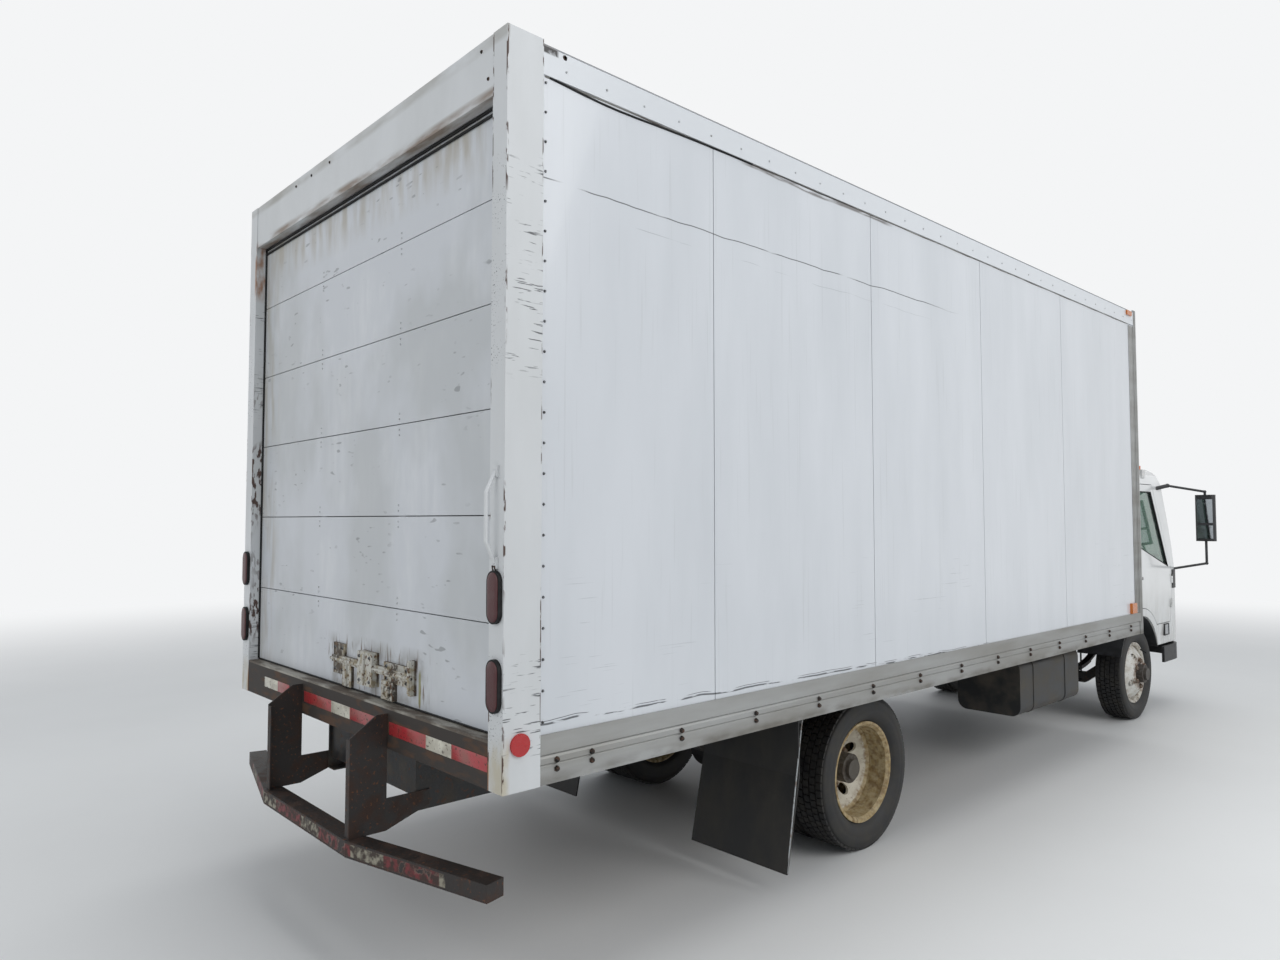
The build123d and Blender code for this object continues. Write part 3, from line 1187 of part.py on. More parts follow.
# Knuckles: a yoke round the beam's boss, the kingpin, the spindle and a steering arm.
SPINDLE_FRONT = 30
EAR = 24
YOKE_GAP = 6
DISC = 12
FRONT_SEAT = TWIN_OFFSET - 1 - DISC
SPINDLE_PROUD = 35
for name, side in SIDES.items():
    with BuildPart() as knuckle:
        spindle_end = FRONT_TRACK / 2 + FRONT_SEAT + SPINDLE_PROUD
        with Locations((side * KINGPIN_X, FRONT_AXLE, TYRE_RADIUS)):
            Cylinder(KINGPIN_RADIUS, 2 * (BOSS_HALF + EAR))
        for way in (-1, 1):
            z = TYRE_RADIUS + way * (BOSS_HALF + 1)
            with Locations((side * KINGPIN_X, FRONT_AXLE, z + way * EAR / 2)):
                Cylinder(BOSS_RADIUS, EAR)
            block((side * KINGPIN_X, side * (KINGPIN_X + 62)), (FRONT_AXLE - 36, FRONT_AXLE + 36), (z, z + way * EAR))
        plate = (side * (KINGPIN_X + BOSS_RADIUS + YOKE_GAP), side * (KINGPIN_X + 62))
        block(plate, (FRONT_AXLE - 55, FRONT_AXLE + 55),
              (TYRE_RADIUS - BOSS_HALF - EAR, TYRE_RADIUS + BOSS_HALF + EAR))
        round_bar((side * (KINGPIN_X + 60), FRONT_AXLE, TYRE_RADIUS),
                  (side * spindle_end, FRONT_AXLE, TYRE_RADIUS), SPINDLE_FRONT)
        arm_z = TYRE_RADIUS - BOSS_HALF - EAR / 2 - 1
        round_bar((side * (KINGPIN_X + 20), FRONT_AXLE + 20, arm_z),
                  (side * (KINGPIN_X - 40), FRONT_AXLE + 200, arm_z), EAR / 2)
    finish(knuckle, f"knuckle_{name}")


def rim(middle_x, out):
    """One wheel disc and barrel about the axle's line at the origin; its hollow faces the out side."""
    flange = RIM_WIDTH / 2
    with BuildPart() as wheel:
        with BuildSketch(Plane.XY):
            with BuildLine():
                half = [(flange + 10, RIM_FLANGE), (flange, RIM_FLANGE), (flange, RIM_RADIUS)]
                inside = [(flange + 10, RIM_FLANGE - 12), (flange - 6, RIM_RADIUS - 10)]
                Polyline(*([(x, r) for x, r in half] + [(-x, r) for x, r in reversed(half)]
                           + [(-x, r) for x, r in inside] + [(x, r) for x, r in reversed(inside)]), close=True)
            make_face()
        revolve(axis=Axis.X)
        seat = -out * (TWIN_OFFSET - 1)
        with BuildSketch(Plane.XY):
            with BuildLine():
                Polyline((seat, 82), (seat, 140), (seat + out * 34, 190), (-out * 50, RIM_RADIUS - 8),
                         (-out * 34, RIM_RADIUS - 8), (seat + out * (34 + DISC), 186), (seat + out * DISC, 140),
                         (seat + out * DISC, 82), close=True)
            make_face()
        revolve(axis=Axis.X)
        for turn in range(4):
            angle = radians(26 + 90 * turn)
            hole = Vector(0, 160 * cos(angle), 160 * sin(angle))
            round_bar((seat - out * 10, hole.Y, hole.Z), (seat + out * 60, hole.Y, hole.Z), 30, mode=Mode.SUBTRACT)
    return wheel.part.moved(Location((middle_x, 0, 0)))


TYRE_FLATS = 40


def flats(x, radius):
    """Outline across the axle's line at x: a many-sided polygon with a corner at the bottom."""
    with BuildSketch(across(x)) as outline:
        RegularPolygon(radius, TYRE_FLATS)
    return outline.sketch


def tyre_ring():
    """One tyre about the X axis, seated on its rim, with rounded shoulders, in flats."""
    flange = RIM_WIDTH / 2
    half = TYRE_WIDTH / 2
    bore = RIM_RADIUS / cos(pi / TYRE_FLATS)
    side_line = [(flange, RIM_FLANGE + 3), (half - 14, RIM_FLANGE + 14),
                 (half, (RIM_FLANGE + TYRE_RADIUS) / 2 - 8), (half - 6, TYRE_RADIUS - 26),
                 (half - 26, TYRE_RADIUS)]
    stations = [(-x, r) for x, r in side_line] + list(reversed(side_line))
    with BuildPart() as ring:
        loft([flats(x, radius) for x, radius in stations], ruled=True)
        extrude(flats(-flange, bore), amount=2 * flange, mode=Mode.SUBTRACT)
    return ring.part


STUD_CIRCLE = 111
LUGS = 6


def hub(reach, bore):
    """Hub about the X axis: flange with nuts, cap outwards, drum inwards, bored for its spindle."""
    with BuildPart() as piece:
        round_bar((-14, 0, 0), (0, 0, 0), 140)
        round_bar((0, 0, 0), (reach, 0, 0), 78)
        round_bar((reach, 0, 0), (reach + 22, 0, 0), 52)
        for turn in range(LUGS):
            angle = radians(60 * turn + 30)
            y = STUD_CIRCLE * cos(angle)
            z = STUD_CIRCLE * sin(angle)
            round_bar((0, y, z), (34, y, z), 15)
        round_bar((-84, 0, 0), (-14, 0, 0), 165)
        round_bar((-90, 0, 0), (-30, 0, 0), 120, mode=Mode.SUBTRACT)
        round_bar((-30, 0, 0), (reach - 12, 0, 0), bore, mode=Mode.SUBTRACT)
    return piece.part


def placed(piece, x, y, side):
    """A wheel piece made for the left side, set on its axle at x, turned over for the right side."""
    turned = piece if side > 0 else piece.rotate(Axis.Z, 180)
    return turned.moved(Location((side * x, y, TYRE_RADIUS)))


front_x = FRONT_TRACK / 2
rear_x = REAR_TRACK / 2
tyre = tyre_ring()
front_rim = rim(0, -1)
outer_rim = rim(TWIN_OFFSET, 1)
inner_rim = rim(-TWIN_OFFSET, -1)
front_hub = hub(60, SPINDLE_FRONT + HUB_BORE_GAP)
rear_hub = hub(130, SPINDLE_RADIUS + HUB_BORE_GAP)
for name, side in SIDES.items():
    with BuildPart() as front_tyre:
        add(placed(tyre, front_x, FRONT_AXLE, side))
    finish(front_tyre, f"front_tyre_{name}")
    with BuildPart() as front_wheel:
        add(placed(front_rim, front_x, FRONT_AXLE, side))
        add(placed(front_hub, front_x + FRONT_SEAT, FRONT_AXLE, side))
    finish(front_wheel, f"front_rim_{name}")
    with BuildPart() as rear_tyres:
        for offset in (-TWIN_OFFSET, TWIN_OFFSET):
            add(placed(tyre, rear_x + offset, REAR_AXLE, side))
    finish(rear_tyres, f"rear_tyres_{name}")
    with BuildPart() as rear_wheel:
        for piece in (outer_rim, inner_rim, rear_hub):
            add(placed(piece, rear_x, REAR_AXLE, side))
    finish(rear_wheel, f"rear_rims_{name}")
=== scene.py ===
# %% [markdown]
# A low-cab-forward box truck: a 20 ft white load body with a roll-up door on a black ladder frame,
# twin rear wheels and a tilting cab. The solids come from the CAD model, in metres, with the ground
# at z = 0, the front towards -Y and the right-hand side at -X. This script dresses them: finishes
# on the CAD pieces, and new pieces for what is too small or too soft for the CAD.

# %% Load the frame
import bpy
import bmesh
from math import cos, exp, pi, radians, sin
from mathutils import Matrix, Vector


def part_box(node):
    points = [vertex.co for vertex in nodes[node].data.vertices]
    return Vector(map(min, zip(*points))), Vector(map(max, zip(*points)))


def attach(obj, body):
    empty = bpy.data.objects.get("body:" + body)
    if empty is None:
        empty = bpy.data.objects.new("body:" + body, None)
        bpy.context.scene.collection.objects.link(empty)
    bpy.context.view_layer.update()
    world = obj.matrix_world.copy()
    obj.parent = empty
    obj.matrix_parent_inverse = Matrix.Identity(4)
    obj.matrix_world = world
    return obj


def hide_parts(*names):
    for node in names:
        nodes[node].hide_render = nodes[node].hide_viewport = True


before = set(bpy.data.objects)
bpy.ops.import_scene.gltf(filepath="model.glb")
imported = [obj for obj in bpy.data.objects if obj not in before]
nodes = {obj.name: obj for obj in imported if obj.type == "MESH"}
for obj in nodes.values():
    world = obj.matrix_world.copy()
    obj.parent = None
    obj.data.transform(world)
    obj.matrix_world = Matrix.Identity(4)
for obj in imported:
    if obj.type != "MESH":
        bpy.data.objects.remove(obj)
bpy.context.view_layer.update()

# %% [markdown]
# Places are read off the CAD pieces where they can be, so that a new bolt or seal sits on the piece
# that carries it. What was measured in the photograph starts from the rear face and the axles.

# %% Places of the truck
BODY_LOW, BODY_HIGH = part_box("rear_frame")
REAR = BODY_HIGH.y
HALF = BODY_HIGH.x
BODY_BASE = BODY_LOW.z
BODY_TOP = BODY_HIGH.z
POST_FRONT = BODY_LOW.y
BODY_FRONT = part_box("box_edge_frame")[0].y
POST_COVER = BODY_FRONT + 0.187
DOOR_FACE = REAR - 0.056
FRONT_AXLE = (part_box("front_tyre_right")[0].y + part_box("front_tyre_right")[1].y) / 2
REAR_AXLE = (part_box("rear_tyres_right")[0].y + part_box("rear_tyres_right")[1].y) / 2
TYRE_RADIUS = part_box("rear_tyres_right")[1].z / 2
CAB_HALF = 0.990
CAB_BELT = 1.290
SIDES = {"right": -1, "left": 1}
print("rear face", round(REAR, 4), "axles", round(FRONT_AXLE, 4), round(REAR_AXLE, 4))


def mirrored(*points):
    """The same places and directions on the right and on the left, as a list for each side."""
    return [[(side * x, y, z) for x, y, z in points] for side in SIDES.values()]


# %% [markdown]
# Colours are picked as they look on a screen, as sRGB hex values, but the renderer adds up light
# in linear values. One function turns one into the other. A second one adds a node to the tree
# that was opened last, whose kind is a shader node's unless it says otherwise.

# %% Colour and node helpers
def linear(hex_colour):
    """Linear RGBA of an sRGB hex colour such as 'C8CBD0'."""
    parts = [int(hex_colour[i:i + 2], 16) / 255 for i in (0, 2, 4)]
    return tuple(p / 12.92 if p <= 0.04045 else ((p + 0.055) / 1.055) ** 2.4 for p in parts) + (1.0,)


def add_node(kind, inputs=None, **settings):
    """One node in the open tree; an input given a node or one of its outputs is linked to it."""
    node = tree.nodes.new(kind if "Node" in kind else f"ShaderNode{kind}")
    for name, value in settings.items():
        setattr(node, name, value)
    for name, value in (inputs or {}).items():
        value = value.outputs[0] if isinstance(value, bpy.types.Node) else value
        if isinstance(value, bpy.types.NodeSocket):
            tree.links.new(value, node.inputs[name])
        else:
            node.inputs[name].default_value = value
    return node


# %% [markdown]
# A mask says where wear lies. Masks are blotches of a real size, bands between two places, and
# patches, which are bands broken up by blotches. They are built in the finish opened last, from the
# point's own place on the object in metres.

# %% Masks
def both(*masks, operation="MULTIPLY"):
    """Mask that is 1 only where all the given ones are."""
    out = masks[0]
    for mask in masks[1:]:
        out = add_node("Math", {0: out, 1: mask}, operation=operation)
    return out


def either(*masks):
    """Mask that is 1 where any of the given ones is."""
    return both(*masks, operation="MAXIMUM")


def blotches(size_mm, low, high, stretch=(1, 1, 1), detail=4.0):
    """Mask of blotches about size_mm across, drawn out along an axis where stretch is over 1."""
    scale = tuple(1000 / size_mm / s for s in stretch)
    mapped = add_node("Mapping", {"Vector": place, "Scale": scale})
    noise = add_node("TexNoise", {"Vector": mapped, "Scale": 1.0, "Detail": detail})
    return add_node("MapRange", {"Value": noise, "From Min": low, "From Max": high})


def between(value, low, high, soft):
    """Mask that is 1 where a value lies between two, with soft edges."""
    rise = add_node("MapRange", {"Value": value, "From Min": low - soft, "From Max": low})
    fall = add_node("MapRange", {"Value": value, "From Min": high, "From Max": high + soft,
                                 "To Min": 1.0, "To Max": 0.0})
    return both(rise, fall)


def band(axis, low, high, soft=0.01, at=None):
    """Mask that is 1 between two places along an axis, in metres, of the place or a moved one."""
    split = add_node("SeparateXYZ", {"Vector": at or place})
    return between(split.outputs["XYZ".index(axis)], low, high, soft)


def both_sides(low, high, soft=0.01):
    """Mask between two distances to the right and the left of the truck's middle."""
    return either(band("X", -high, -low, soft), band("X", low, high, soft))


def patch(spots=None, **bands):
    """Mask inside bands, such as Z=(low, high, soft), and broken up where spots are given."""
    masks = [band(axis, *limits) for axis, limits in bands.items()]
    return both(*masks, blotches(*spots)) if spots else both(*masks)


def distance(point, kept, at=None):
    """How far a place is from a point, counted along the axes that are kept."""
    moved = add_node("VectorMath", {0: at or place, 1: point}, operation="SUBTRACT")
    flat = add_node("VectorMath", {0: moved, 1: kept}, operation="MULTIPLY")
    return add_node("VectorMath", {0: flat}, operation="LENGTH").outputs["Value"]


# %% [markdown]
# Every finish starts as one Principled shader, and wear is laid over it in coats, as on the real
# truck: the last coat is the outermost. A stained finish is one whose coats are all blotches.

# %% Finishes
def new_finish(name, colour, roughness, metallic=0.0, **shader_values):
    """Open a material of one shader; its tree, shader and place are what masks and coats work on."""
    global tree, shader, place
    material = bpy.data.materials.new(name)
    material.use_nodes = True
    tree = material.node_tree
    tree.nodes.clear()
    shader = add_node("BsdfPrincipled", {"Base Color": linear(colour), "Roughness": roughness, "Metallic": metallic})
    for socket, value in shader_values.items():
        shader.inputs[socket.replace("_", " ")].default_value = value
    add_node("OutputMaterial", {"Surface": shader})
    place = add_node("TexCoord").outputs["Object"]
    return material


def coat(mask, colour, roughness=None, strength=1.0, metallic=None):
    """Lay a colour, a roughness or a metal over the shader's present one where the mask is."""
    factor = add_node("Math", {0: mask, 1: strength}, operation="MULTIPLY")
    for name, value, kind, below, above, result in (
            ("Base Color", linear(colour), "RGBA", 6, 7, 2), ("Roughness", roughness, "FLOAT", 2, 3, 0),
            ("Metallic", metallic, "FLOAT", 2, 3, 0)):
        if value is not None:
            socket = shader.inputs[name]
            present = socket.links[0].from_socket if socket.is_linked else socket.default_value
            mix = add_node("Mix", {0: factor, below: present, above: value}, data_type=kind)
            tree.links.new(mix.outputs[result], socket)


def relief(height, depth_mm):
    """Raise the surface by depth_mm where the mask is 1, in how it takes the light."""
    bump = add_node("Bump", {"Height": height, "Distance": depth_mm / 1000, "Strength": 1.0})
    tree.links.new(bump.outputs[0], shader.inputs["Normal"])


def dress(material, *names):
    """Give a finish to CAD pieces."""
    for name in names:
        for slot in nodes[name].material_slots:
            slot.material = material
    print(material.name, *names)


def stained(name, colour, roughness, metallic, stains, grain=None, *names, **shader_values):
    """A finish with a coat for each (blotches, coat) pair and a grain of (blotches, depth)."""
    material = new_finish(name, colour, roughness, metallic, **shader_values)
    for spots, look in stains:
        coat(blotches(*spots), *look)
    if grain:
        relief(blotches(*grain[0]), grain[1])
    dress(material, *names)
    return material


# %% [markdown]
# The walls are aluminium sheet with a baked white enamel, glossy and a little wavy between its
# posts. Years of loading bays leave long dark rubber scuffs above the floor rail, faint level
# scratches higher up and thin grey rain streaks.

# %% Enamel of the walls
panel_enamel = new_finish("baked_enamel_panels", "D3D6DA", 0.16, Coat_Weight=0.3, Coat_Roughness=0.05)
# Sheet sags between its fixings by under a millimetre, which breaks up what it mirrors.
relief(blotches(420, 0.3, 0.7, (1, 1, 1.6), 1.0), 1.2)
coat(blotches(300, 0.35, 0.75, (1, 1, 4)), "C4C8CC", 0.24, 0.6)
coat(blotches(14, 0.62, 0.8, (1, 1, 40), 2.0), "AFB2B3", 0.4, 0.3)
# No long mark is quite straight: the place is pushed up and down by up to 14 mm.
noise = add_node("TexNoise", {"Vector": place, "Scale": 1000 / 260, "Detail": 2.0})
centred = add_node("VectorMath", {0: noise.outputs["Color"], 1: (0.5, 0.5, 0.5)}, operation="SUBTRACT")
swing = add_node("VectorMath", {0: centred, 1: (0, 0, 0.028)}, operation="MULTIPLY")
wander = add_node("VectorMath", {0: place, 1: swing}, operation="ADD")
# The scuffs climb by 14.5 mm a metre towards the rear, as the loading dock's edge did.
axes = add_node("SeparateXYZ", {"Vector": wander})
climb = add_node("Math", {0: axes.outputs[1], 1: -0.0145, 2: axes.outputs[2]}, operation="MULTIPLY_ADD")
level = add_node("CombineXYZ", {"Y": axes.outputs[1], "Z": climb})
low_scuffs = both(either(band("Z", 0.999, 1.004, 0.002, level), band("Z", 1.011, 1.0125, 0.001, level)),
                  patch((20, 0.46, 0.5, (1, 9, 1)), Y=(0.6, 3.78, 0.3)))
crease = patch((30, 0.34, 0.44, (1, 8, 1)), Z=(2.946, 2.949, 0.0015, wander), Y=(1.2, 3.78, 0.4))
faint = patch((40, 0.48, 0.56, (1, 10, 1)), Z=(2.865, 2.867, 0.001, wander), Y=(1.5, 3.5, 0.4))
roof_grime = patch((22, 0.36, 0.5, (1, 10, 1)), Z=(3.296, 3.314, 0.006, wander), Y=(1.6, 2.66, 0.1))
scratches = both(blotches(7, 0.69, 0.72, (1, 40, 1), 1.0), patch((500, 0.54, 0.64), Z=(0.9, 1.45, 0.2)))
coat(roof_grime, "4A4038", 0.6, 0.75)
coat(either(low_scuffs, crease), "2E3136", 0.55, 0.85)
coat(either(scratches, faint), "7C8287", 0.5, 0.5)
dress(panel_enamel, "box_walls", "box_roof")

# %% [markdown]
# The rear frame is folded steel, painted with the same white by hand, so it is a little duller.
# Its edges are chipped in clusters, and rust bleeds out: brown stains lie below the header, and
# a grey band along its top edge is painted shade. The sill is bare brown-black steel by now, and
# its top lip is painted pale as a highlight, under brown dirt. An edge is where two bands meet.

# %% Enamel of the rear frame
OPENING = (0.089 - HALF, HALF - 0.089, 0.001)
frame_enamel = new_finish("brushed_enamel_on_steel", "D0D2D3", 0.34)
relief(blotches(60, 0.3, 0.7, (1, 1, 2)), 0.35)
coat(blotches(240, 0.4, 0.75, (1, 1, 3)), "BBBDBC", 0.45, 0.5)
outer_edge = both(both_sides(HALF - 0.004, HALF + 0.001, 0.003), band("Y", REAR - 0.004, REAR + 0.001, 0.003))
inner_edge = both(both_sides(HALF - 0.09, HALF - 0.083, 0.002), band("Y", REAR - 0.06, REAR + 0.001, 0.001))
panel_edge = band("Y", POST_FRONT - 0.001, POST_FRONT + 0.003, 0.002)
chips = both(either(outer_edge, inner_edge, panel_edge), blotches(330, 0.46, 0.56, detail=1.0),
             blotches(16, 0.5, 0.56, (1, 1, 3)))
coat(patch((60, 0.36, 0.6, (5, 1, 1)), Z=(BODY_TOP - 0.222, BODY_TOP - 0.2, 0.02), X=OPENING), "6B5238", 0.6, 0.8)
# Painted shade: a grey band along the header's top edge.
coat(patch((90, 0.34, 0.66, (4, 1, 1)), Z=(BODY_TOP - 0.03, BODY_TOP + 0.01, 0.02), Y=(REAR - 0.01, REAR, 0.001)),
     "8A8578", 0.6, 0.6)
post_foot = patch((60, 0.38, 0.62, (1, 1, 2)), Z=(BODY_BASE - 0.01, 0.99, 0.05), Y=(REAR - 0.02, REAR + 0.01))
coat(post_foot, "B9B098", 0.5, 0.8)
foot_rust = both(band("Z", BODY_BASE - 0.01, 0.93, 0.06), inner_edge)
left_top = patch((34, 0.4, 0.6, (1, 1, 3)), Z=(2.98, 3.2, 0.06), X=(HALF - 0.1, HALF - 0.074, 0.006))
coat(either(foot_rust, left_top), "8F5A2A", 0.8, 0.8)
coat(chips, "43281C", 0.8, 0.95)
strokes = both(either(band("Z", 0.98, 1.27, 0.04), band("Z", 2.3, 2.95, 0.08)),
               blotches(7, 0.62, 0.66, (1, 12, 1), 2.0), blotches(120, 0.42, 0.56))
coat(strokes, "33363B", 0.5, 0.85)
sill = patch(Z=(BODY_BASE - 0.01, 1.0, 0.002), X=OPENING)
sill_top = patch(Z=(1.0, 1.02, 0.002), X=OPENING)
# Painted highlight: the sill's top lip is pale where it catches light; the brown blotches over it are dirt.
coat(sill_top, "9A968C", 0.5)
coat(both(sill_top, blotches(60, 0.42, 0.58, (3, 1, 1))), "4A3F35", 0.7, 0.9)
coat(sill, "2A2420", 0.7)
coat(both(sill, blotches(40, 0.5, 0.62, (3, 1, 1))), "4D3625", 0.8, 0.8)
dress(frame_enamel, "rear_frame", "grab_handle")

# %% [markdown]
# The roll-up door is plywood panels with a painted skin. Hands and rags leave dull wiped patches,
# and water that gets past the header dries to brown runs at its top and along its left edge. Rust
# lies round the latch, a grey patch painted round it is its shade, and one ochre run hangs from
# the end of its bar.

# %% Paint of the door panels
door_paint = new_finish("satin_paint_on_plywood", "C9CCD0", 0.36)
relief(blotches(260, 0.3, 0.7), 0.8)
coat(both(blotches(380, 0.48, 0.6), blotches(46, 0.35, 0.7, (1, 1, 5))), "D9DBDD", 0.26, 0.55)
coat(blotches(520, 0.45, 0.62, (1, 1, 1.5)), "B3B6B6", 0.42, 0.6)
coat(either(patch((60, 0.38, 0.66, (1, 1, 5)), Z=(3.12, 3.23, 0.14)),
            patch((60, 0.42, 0.68, (1, 1, 6)), X=(1.02, 1.16, 0.12))), "A59D8C", 0.5, 0.65)
coat(patch((16, 0.56, 0.66, (1, 1, 7)), Z=(1.0, 1.2, 0.05), X=(-0.62, 0.26, 0.06)), "5E4128", 0.6, 0.85)
coat(patch(X=(-0.592, -0.578, 0.004), Z=(1.04, 1.15, 0.02)), "8A8650", 0.5, 0.8)
# Painted shade: a grey patch on the door round the latch.
coat(patch((90, 0.42, 0.62), X=(-0.6, 0.22, 0.05), Z=(1.03, 1.2, 0.05)), "7B776E", 0.5, 0.5)
coat(both(blotches(8, 0.68, 0.72, (10, 1, 3), 1.0), blotches(300, 0.5, 0.6)), "77797B", 0.5, 0.6)
dress(door_paint, "roll_up_door")

# %% [markdown]
# A drawn aluminium edge frame ties the body together. Its floor rails and front posts are bare
# metal, dull and finely lined along their length by the die, and its roof rails are enamelled.

# %% Drawn aluminium rails
SHARP = 0.0004
rail_metal = new_finish("drawn_aluminium_and_enamel", "D6D9DC", 0.24)
floor_rail = patch(Z=(0.8, 1.0185, SHARP), Y=(BODY_FRONT, REAR, 0.001))
front_post = patch(Z=(0.8, 3.306, SHARP), Y=(BODY_FRONT - 0.01, POST_COVER, SHARP))
post_top = band("Y", BODY_FRONT - 0.01, BODY_FRONT + 0.0945, SHARP)
bare = either(floor_rail, front_post, post_top)
coat(bare, "A3A4A3", 0.42, 1.0, 0.72)
coat(both(bare, blotches(120, 0.35, 0.7, (1, 6, 1))), "86847E", 0.55, 0.8, 0.45)
coat(both(bare, patch((60, 0.35, 0.65, (1, 3, 1)), Z=(0.8, 0.862, 0.03))), "5B564D", 0.7, 0.7, 0.1)
# The lip at the roof's edge is painted dark grey as its shade, and at its rear end the joint has gone black.
lip = both(both_sides(HALF - 0.026, HALF + 0.01, 0.006),
           patch(Z=(BODY_TOP - 0.0205, BODY_TOP + 0.01, 0.0015), Y=(BODY_FRONT + 0.1, POST_FRONT, 0.01)))
coat(lip, "4C5057", 0.7, 0.95)
coat(patch((30, 0.26, 0.42), Z=(BODY_TOP - 0.042, BODY_TOP - 0.01, 0.006),
           Y=(POST_FRONT - 0.056, POST_FRONT + 0.01, 0.012)), "231F1D", 0.6, 0.95)
relief(blotches(3, 0.3, 0.7, (1, 200, 1), 2.0), 0.08)
dress(rail_metal, "box_edge_frame")

# %% [markdown]
# Below the floor everything wears black chassis paint that road dust has turned brown-grey, over
# steel that rusts where stones have hit it. Castings are rougher, and heat has browned the exhaust.

# %% Chassis paints
chassis_paint = stained(
    "black_chassis_paint", "1B1C1E", 0.5, 0.0,
    [((90, 0.45, 0.7), ("4A4339", 0.8, 0.7)), ((22, 0.6, 0.68), ("5B3B28", 0.85, 0.7))],
    ((14, 0.3, 0.7), 0.4), "frame_ladder", "cab_mounts", "front_axle", "rear_axle", "leaf_springs",
    "battery_box", "knuckle_right", "knuckle_left")
stained("sand_cast_iron", "3A3A3B", 0.65, 0.2, [((60, 0.45, 0.65), ("4F4438", 0.85, 0.8, 0.0))],
        ((5, 0.3, 0.7), 0.5), "engine_block", "driveline")
stained("dull_tank_steel", "3B3C3D", 0.42, 0.5, [((130, 0.4, 0.68, (1, 2, 1)), ("5B554B", 0.75, 0.8, 0.1))],
        ((200, 0.3, 0.7), 0.8), "fuel_tank")
stained("heat_stained_steel", "5E554B", 0.5, 0.7, [((80, 0.4, 0.6), ("6B4530", 0.8, 0.85, 0.1))],
        ((10, 0.3, 0.7), 0.3), "exhaust")
galvanised = new_finish("galvanised_steel", "A9ADAF", 0.38, 0.8)
# Zinc sets in grains some 8 mm across, each a slightly different grey.
grains = add_node("TexVoronoi", {"Vector": place, "Scale": 125.0})
coat(add_node("MapRange", {"Value": grains.outputs["Color"]}), "8B9092", 0.5, 0.6)
coat(blotches(40, 0.52, 0.64), "74583D", 0.8, 0.7, 0.1)
dress(galvanised, "door_gear")

# %% [markdown]
# The rear step has lost most of its paint and rusts all over. Worn reflective tape runs along its
# rear face, red and white by turns. The latch is painted steel with rust spots, and painted shade
# darkens its corners next to the door.

# %% Step and latch steel
step_steel = new_finish("rusted_painted_steel", "211C1A", 0.58)
coat(blotches(70, 0.46, 0.64), "38261D", 0.8, 0.9)
coat(blotches(14, 0.62, 0.68), "64402A", 0.85, 0.8)
relief(blotches(9, 0.3, 0.7), 0.5)
# The bar's ends sweep forwards by a quarter of their length, so the tape is found by how far a
# point lies behind that bent line.
parts = add_node("SeparateXYZ", {"Vector": place})
wide = add_node("Math", {0: parts}, operation="ABSOLUTE")
past_bend = add_node("Math", {0: wide, 1: 0.43}, operation="SUBTRACT")
swept = add_node("Math", {0: past_bend, 1: 0.0}, operation="MAXIMUM")
unbent = add_node("Math", {0: swept, 1: 0.2465, 2: parts.outputs[1]}, operation="MULTIPLY_ADD")
rear_face = add_node("Math", {0: unbent, 1: REAR + 0.1636}, operation="GREATER_THAN")
strip = both(rear_face, patch((70, 0.36, 0.42), Z=(0.477, 0.521, 0.001), X=(-0.95, 0.95, 0.001)))
turns = add_node("Math", {0: parts, 1: 0.46, 2: 0.0}, operation="WRAP")
reds = add_node("Math", {0: turns, 1: 0.28}, operation="LESS_THAN")
coat(strip, "8F8A7A", 0.5)
coat(both(strip, reds), "6B2024", 0.5)
coat(both(strip, blotches(26, 0.38, 0.56)), "2E221C", 0.7, 0.95)
dress(step_steel, "rear_step")

latch_steel = new_finish("painted_latch_steel", "BDBBB2", 0.45)
coat(blotches(34, 0.46, 0.6), "8F8164", 0.6, 0.85)
# Painted shade darkens the corners next to the door; the hasp's upright and the keeper are darkened too.
shaded_corners = patch((30, 0.3, 0.5, (1, 1, 2)), Y=(DOOR_FACE - 0.01, DOOR_FACE + 0.009, 0.004))
hasp = patch((16, 0.36, 0.5), X=(-0.425, -0.372, 0.004))
keeper = patch((22, 0.44, 0.54, (1, 1, 2)), X=(0.105, 0.2, 0.004))
coat(either(shaded_corners, hasp, keeper), "33261C", 0.8, 0.88)
coat(blotches(14, 0.57, 0.63), "523319", 0.8, 0.9)
relief(blotches(8, 0.3, 0.7), 0.4)
dress(latch_steel, "door_latch")

# %% [markdown]
# The load floor is laminated hardwood in strips about 35 mm wide, each of its own brown: a brick
# pattern, with stretched noise for the grain. Its steel bearers are in the same CAD piece, lower
# down, so height turns them to black paint.

# %% Hardwood deck
deck_wood = new_finish("laminated_hardwood", "7A5C3F", 0.5)
along = add_node("Mapping", {"Vector": place, "Rotation": (0, 0, pi / 2)})
strips = add_node("TexBrick", {
    "Vector": along, "Color1": linear("8A6A48"), "Color2": linear("664A31"), "Mortar": linear("2B1F15"),
    "Scale": 1.0, "Mortar Size": 0.0012, "Brick Width": 0.9, "Row Height": 0.035})
tree.links.new(strips.outputs[0], shader.inputs["Base Color"])
coat(blotches(4, 0.5, 0.75, (1, 60, 1)), "4A3422", strength=0.5)
bearers = band("Z", 0.5, 0.9745, 0.0005)
coat(bearers, "1D1D1D", 0.6)
coat(both(bearers, blotches(70, 0.45, 0.65)), "4A4037", 0.8)
dress(deck_wood, "box_floor")

# %% [markdown]
# Cab paint is sprayed two-coat white, glossier than the body. Low down, road film takes the gloss
# off in soft vertical fans behind the wheels and along the sills.

# %% Cab paint
cab_paint = new_finish("sprayed_two_coat_paint", "E1E2E1", 0.16, Coat_Weight=0.6, Coat_Roughness=0.06)
coat(blotches(240, 0.4, 0.75), "D3D4D2", 0.24, 0.5)
coat(patch((80, 0.35, 0.7, (1, 1, 3)), Z=(0.4, 0.72, 0.45)), "A09C92", 0.5, 0.6)
coat(blotches(7, 0.73, 0.75), "5B4334", 0.7, 0.6)
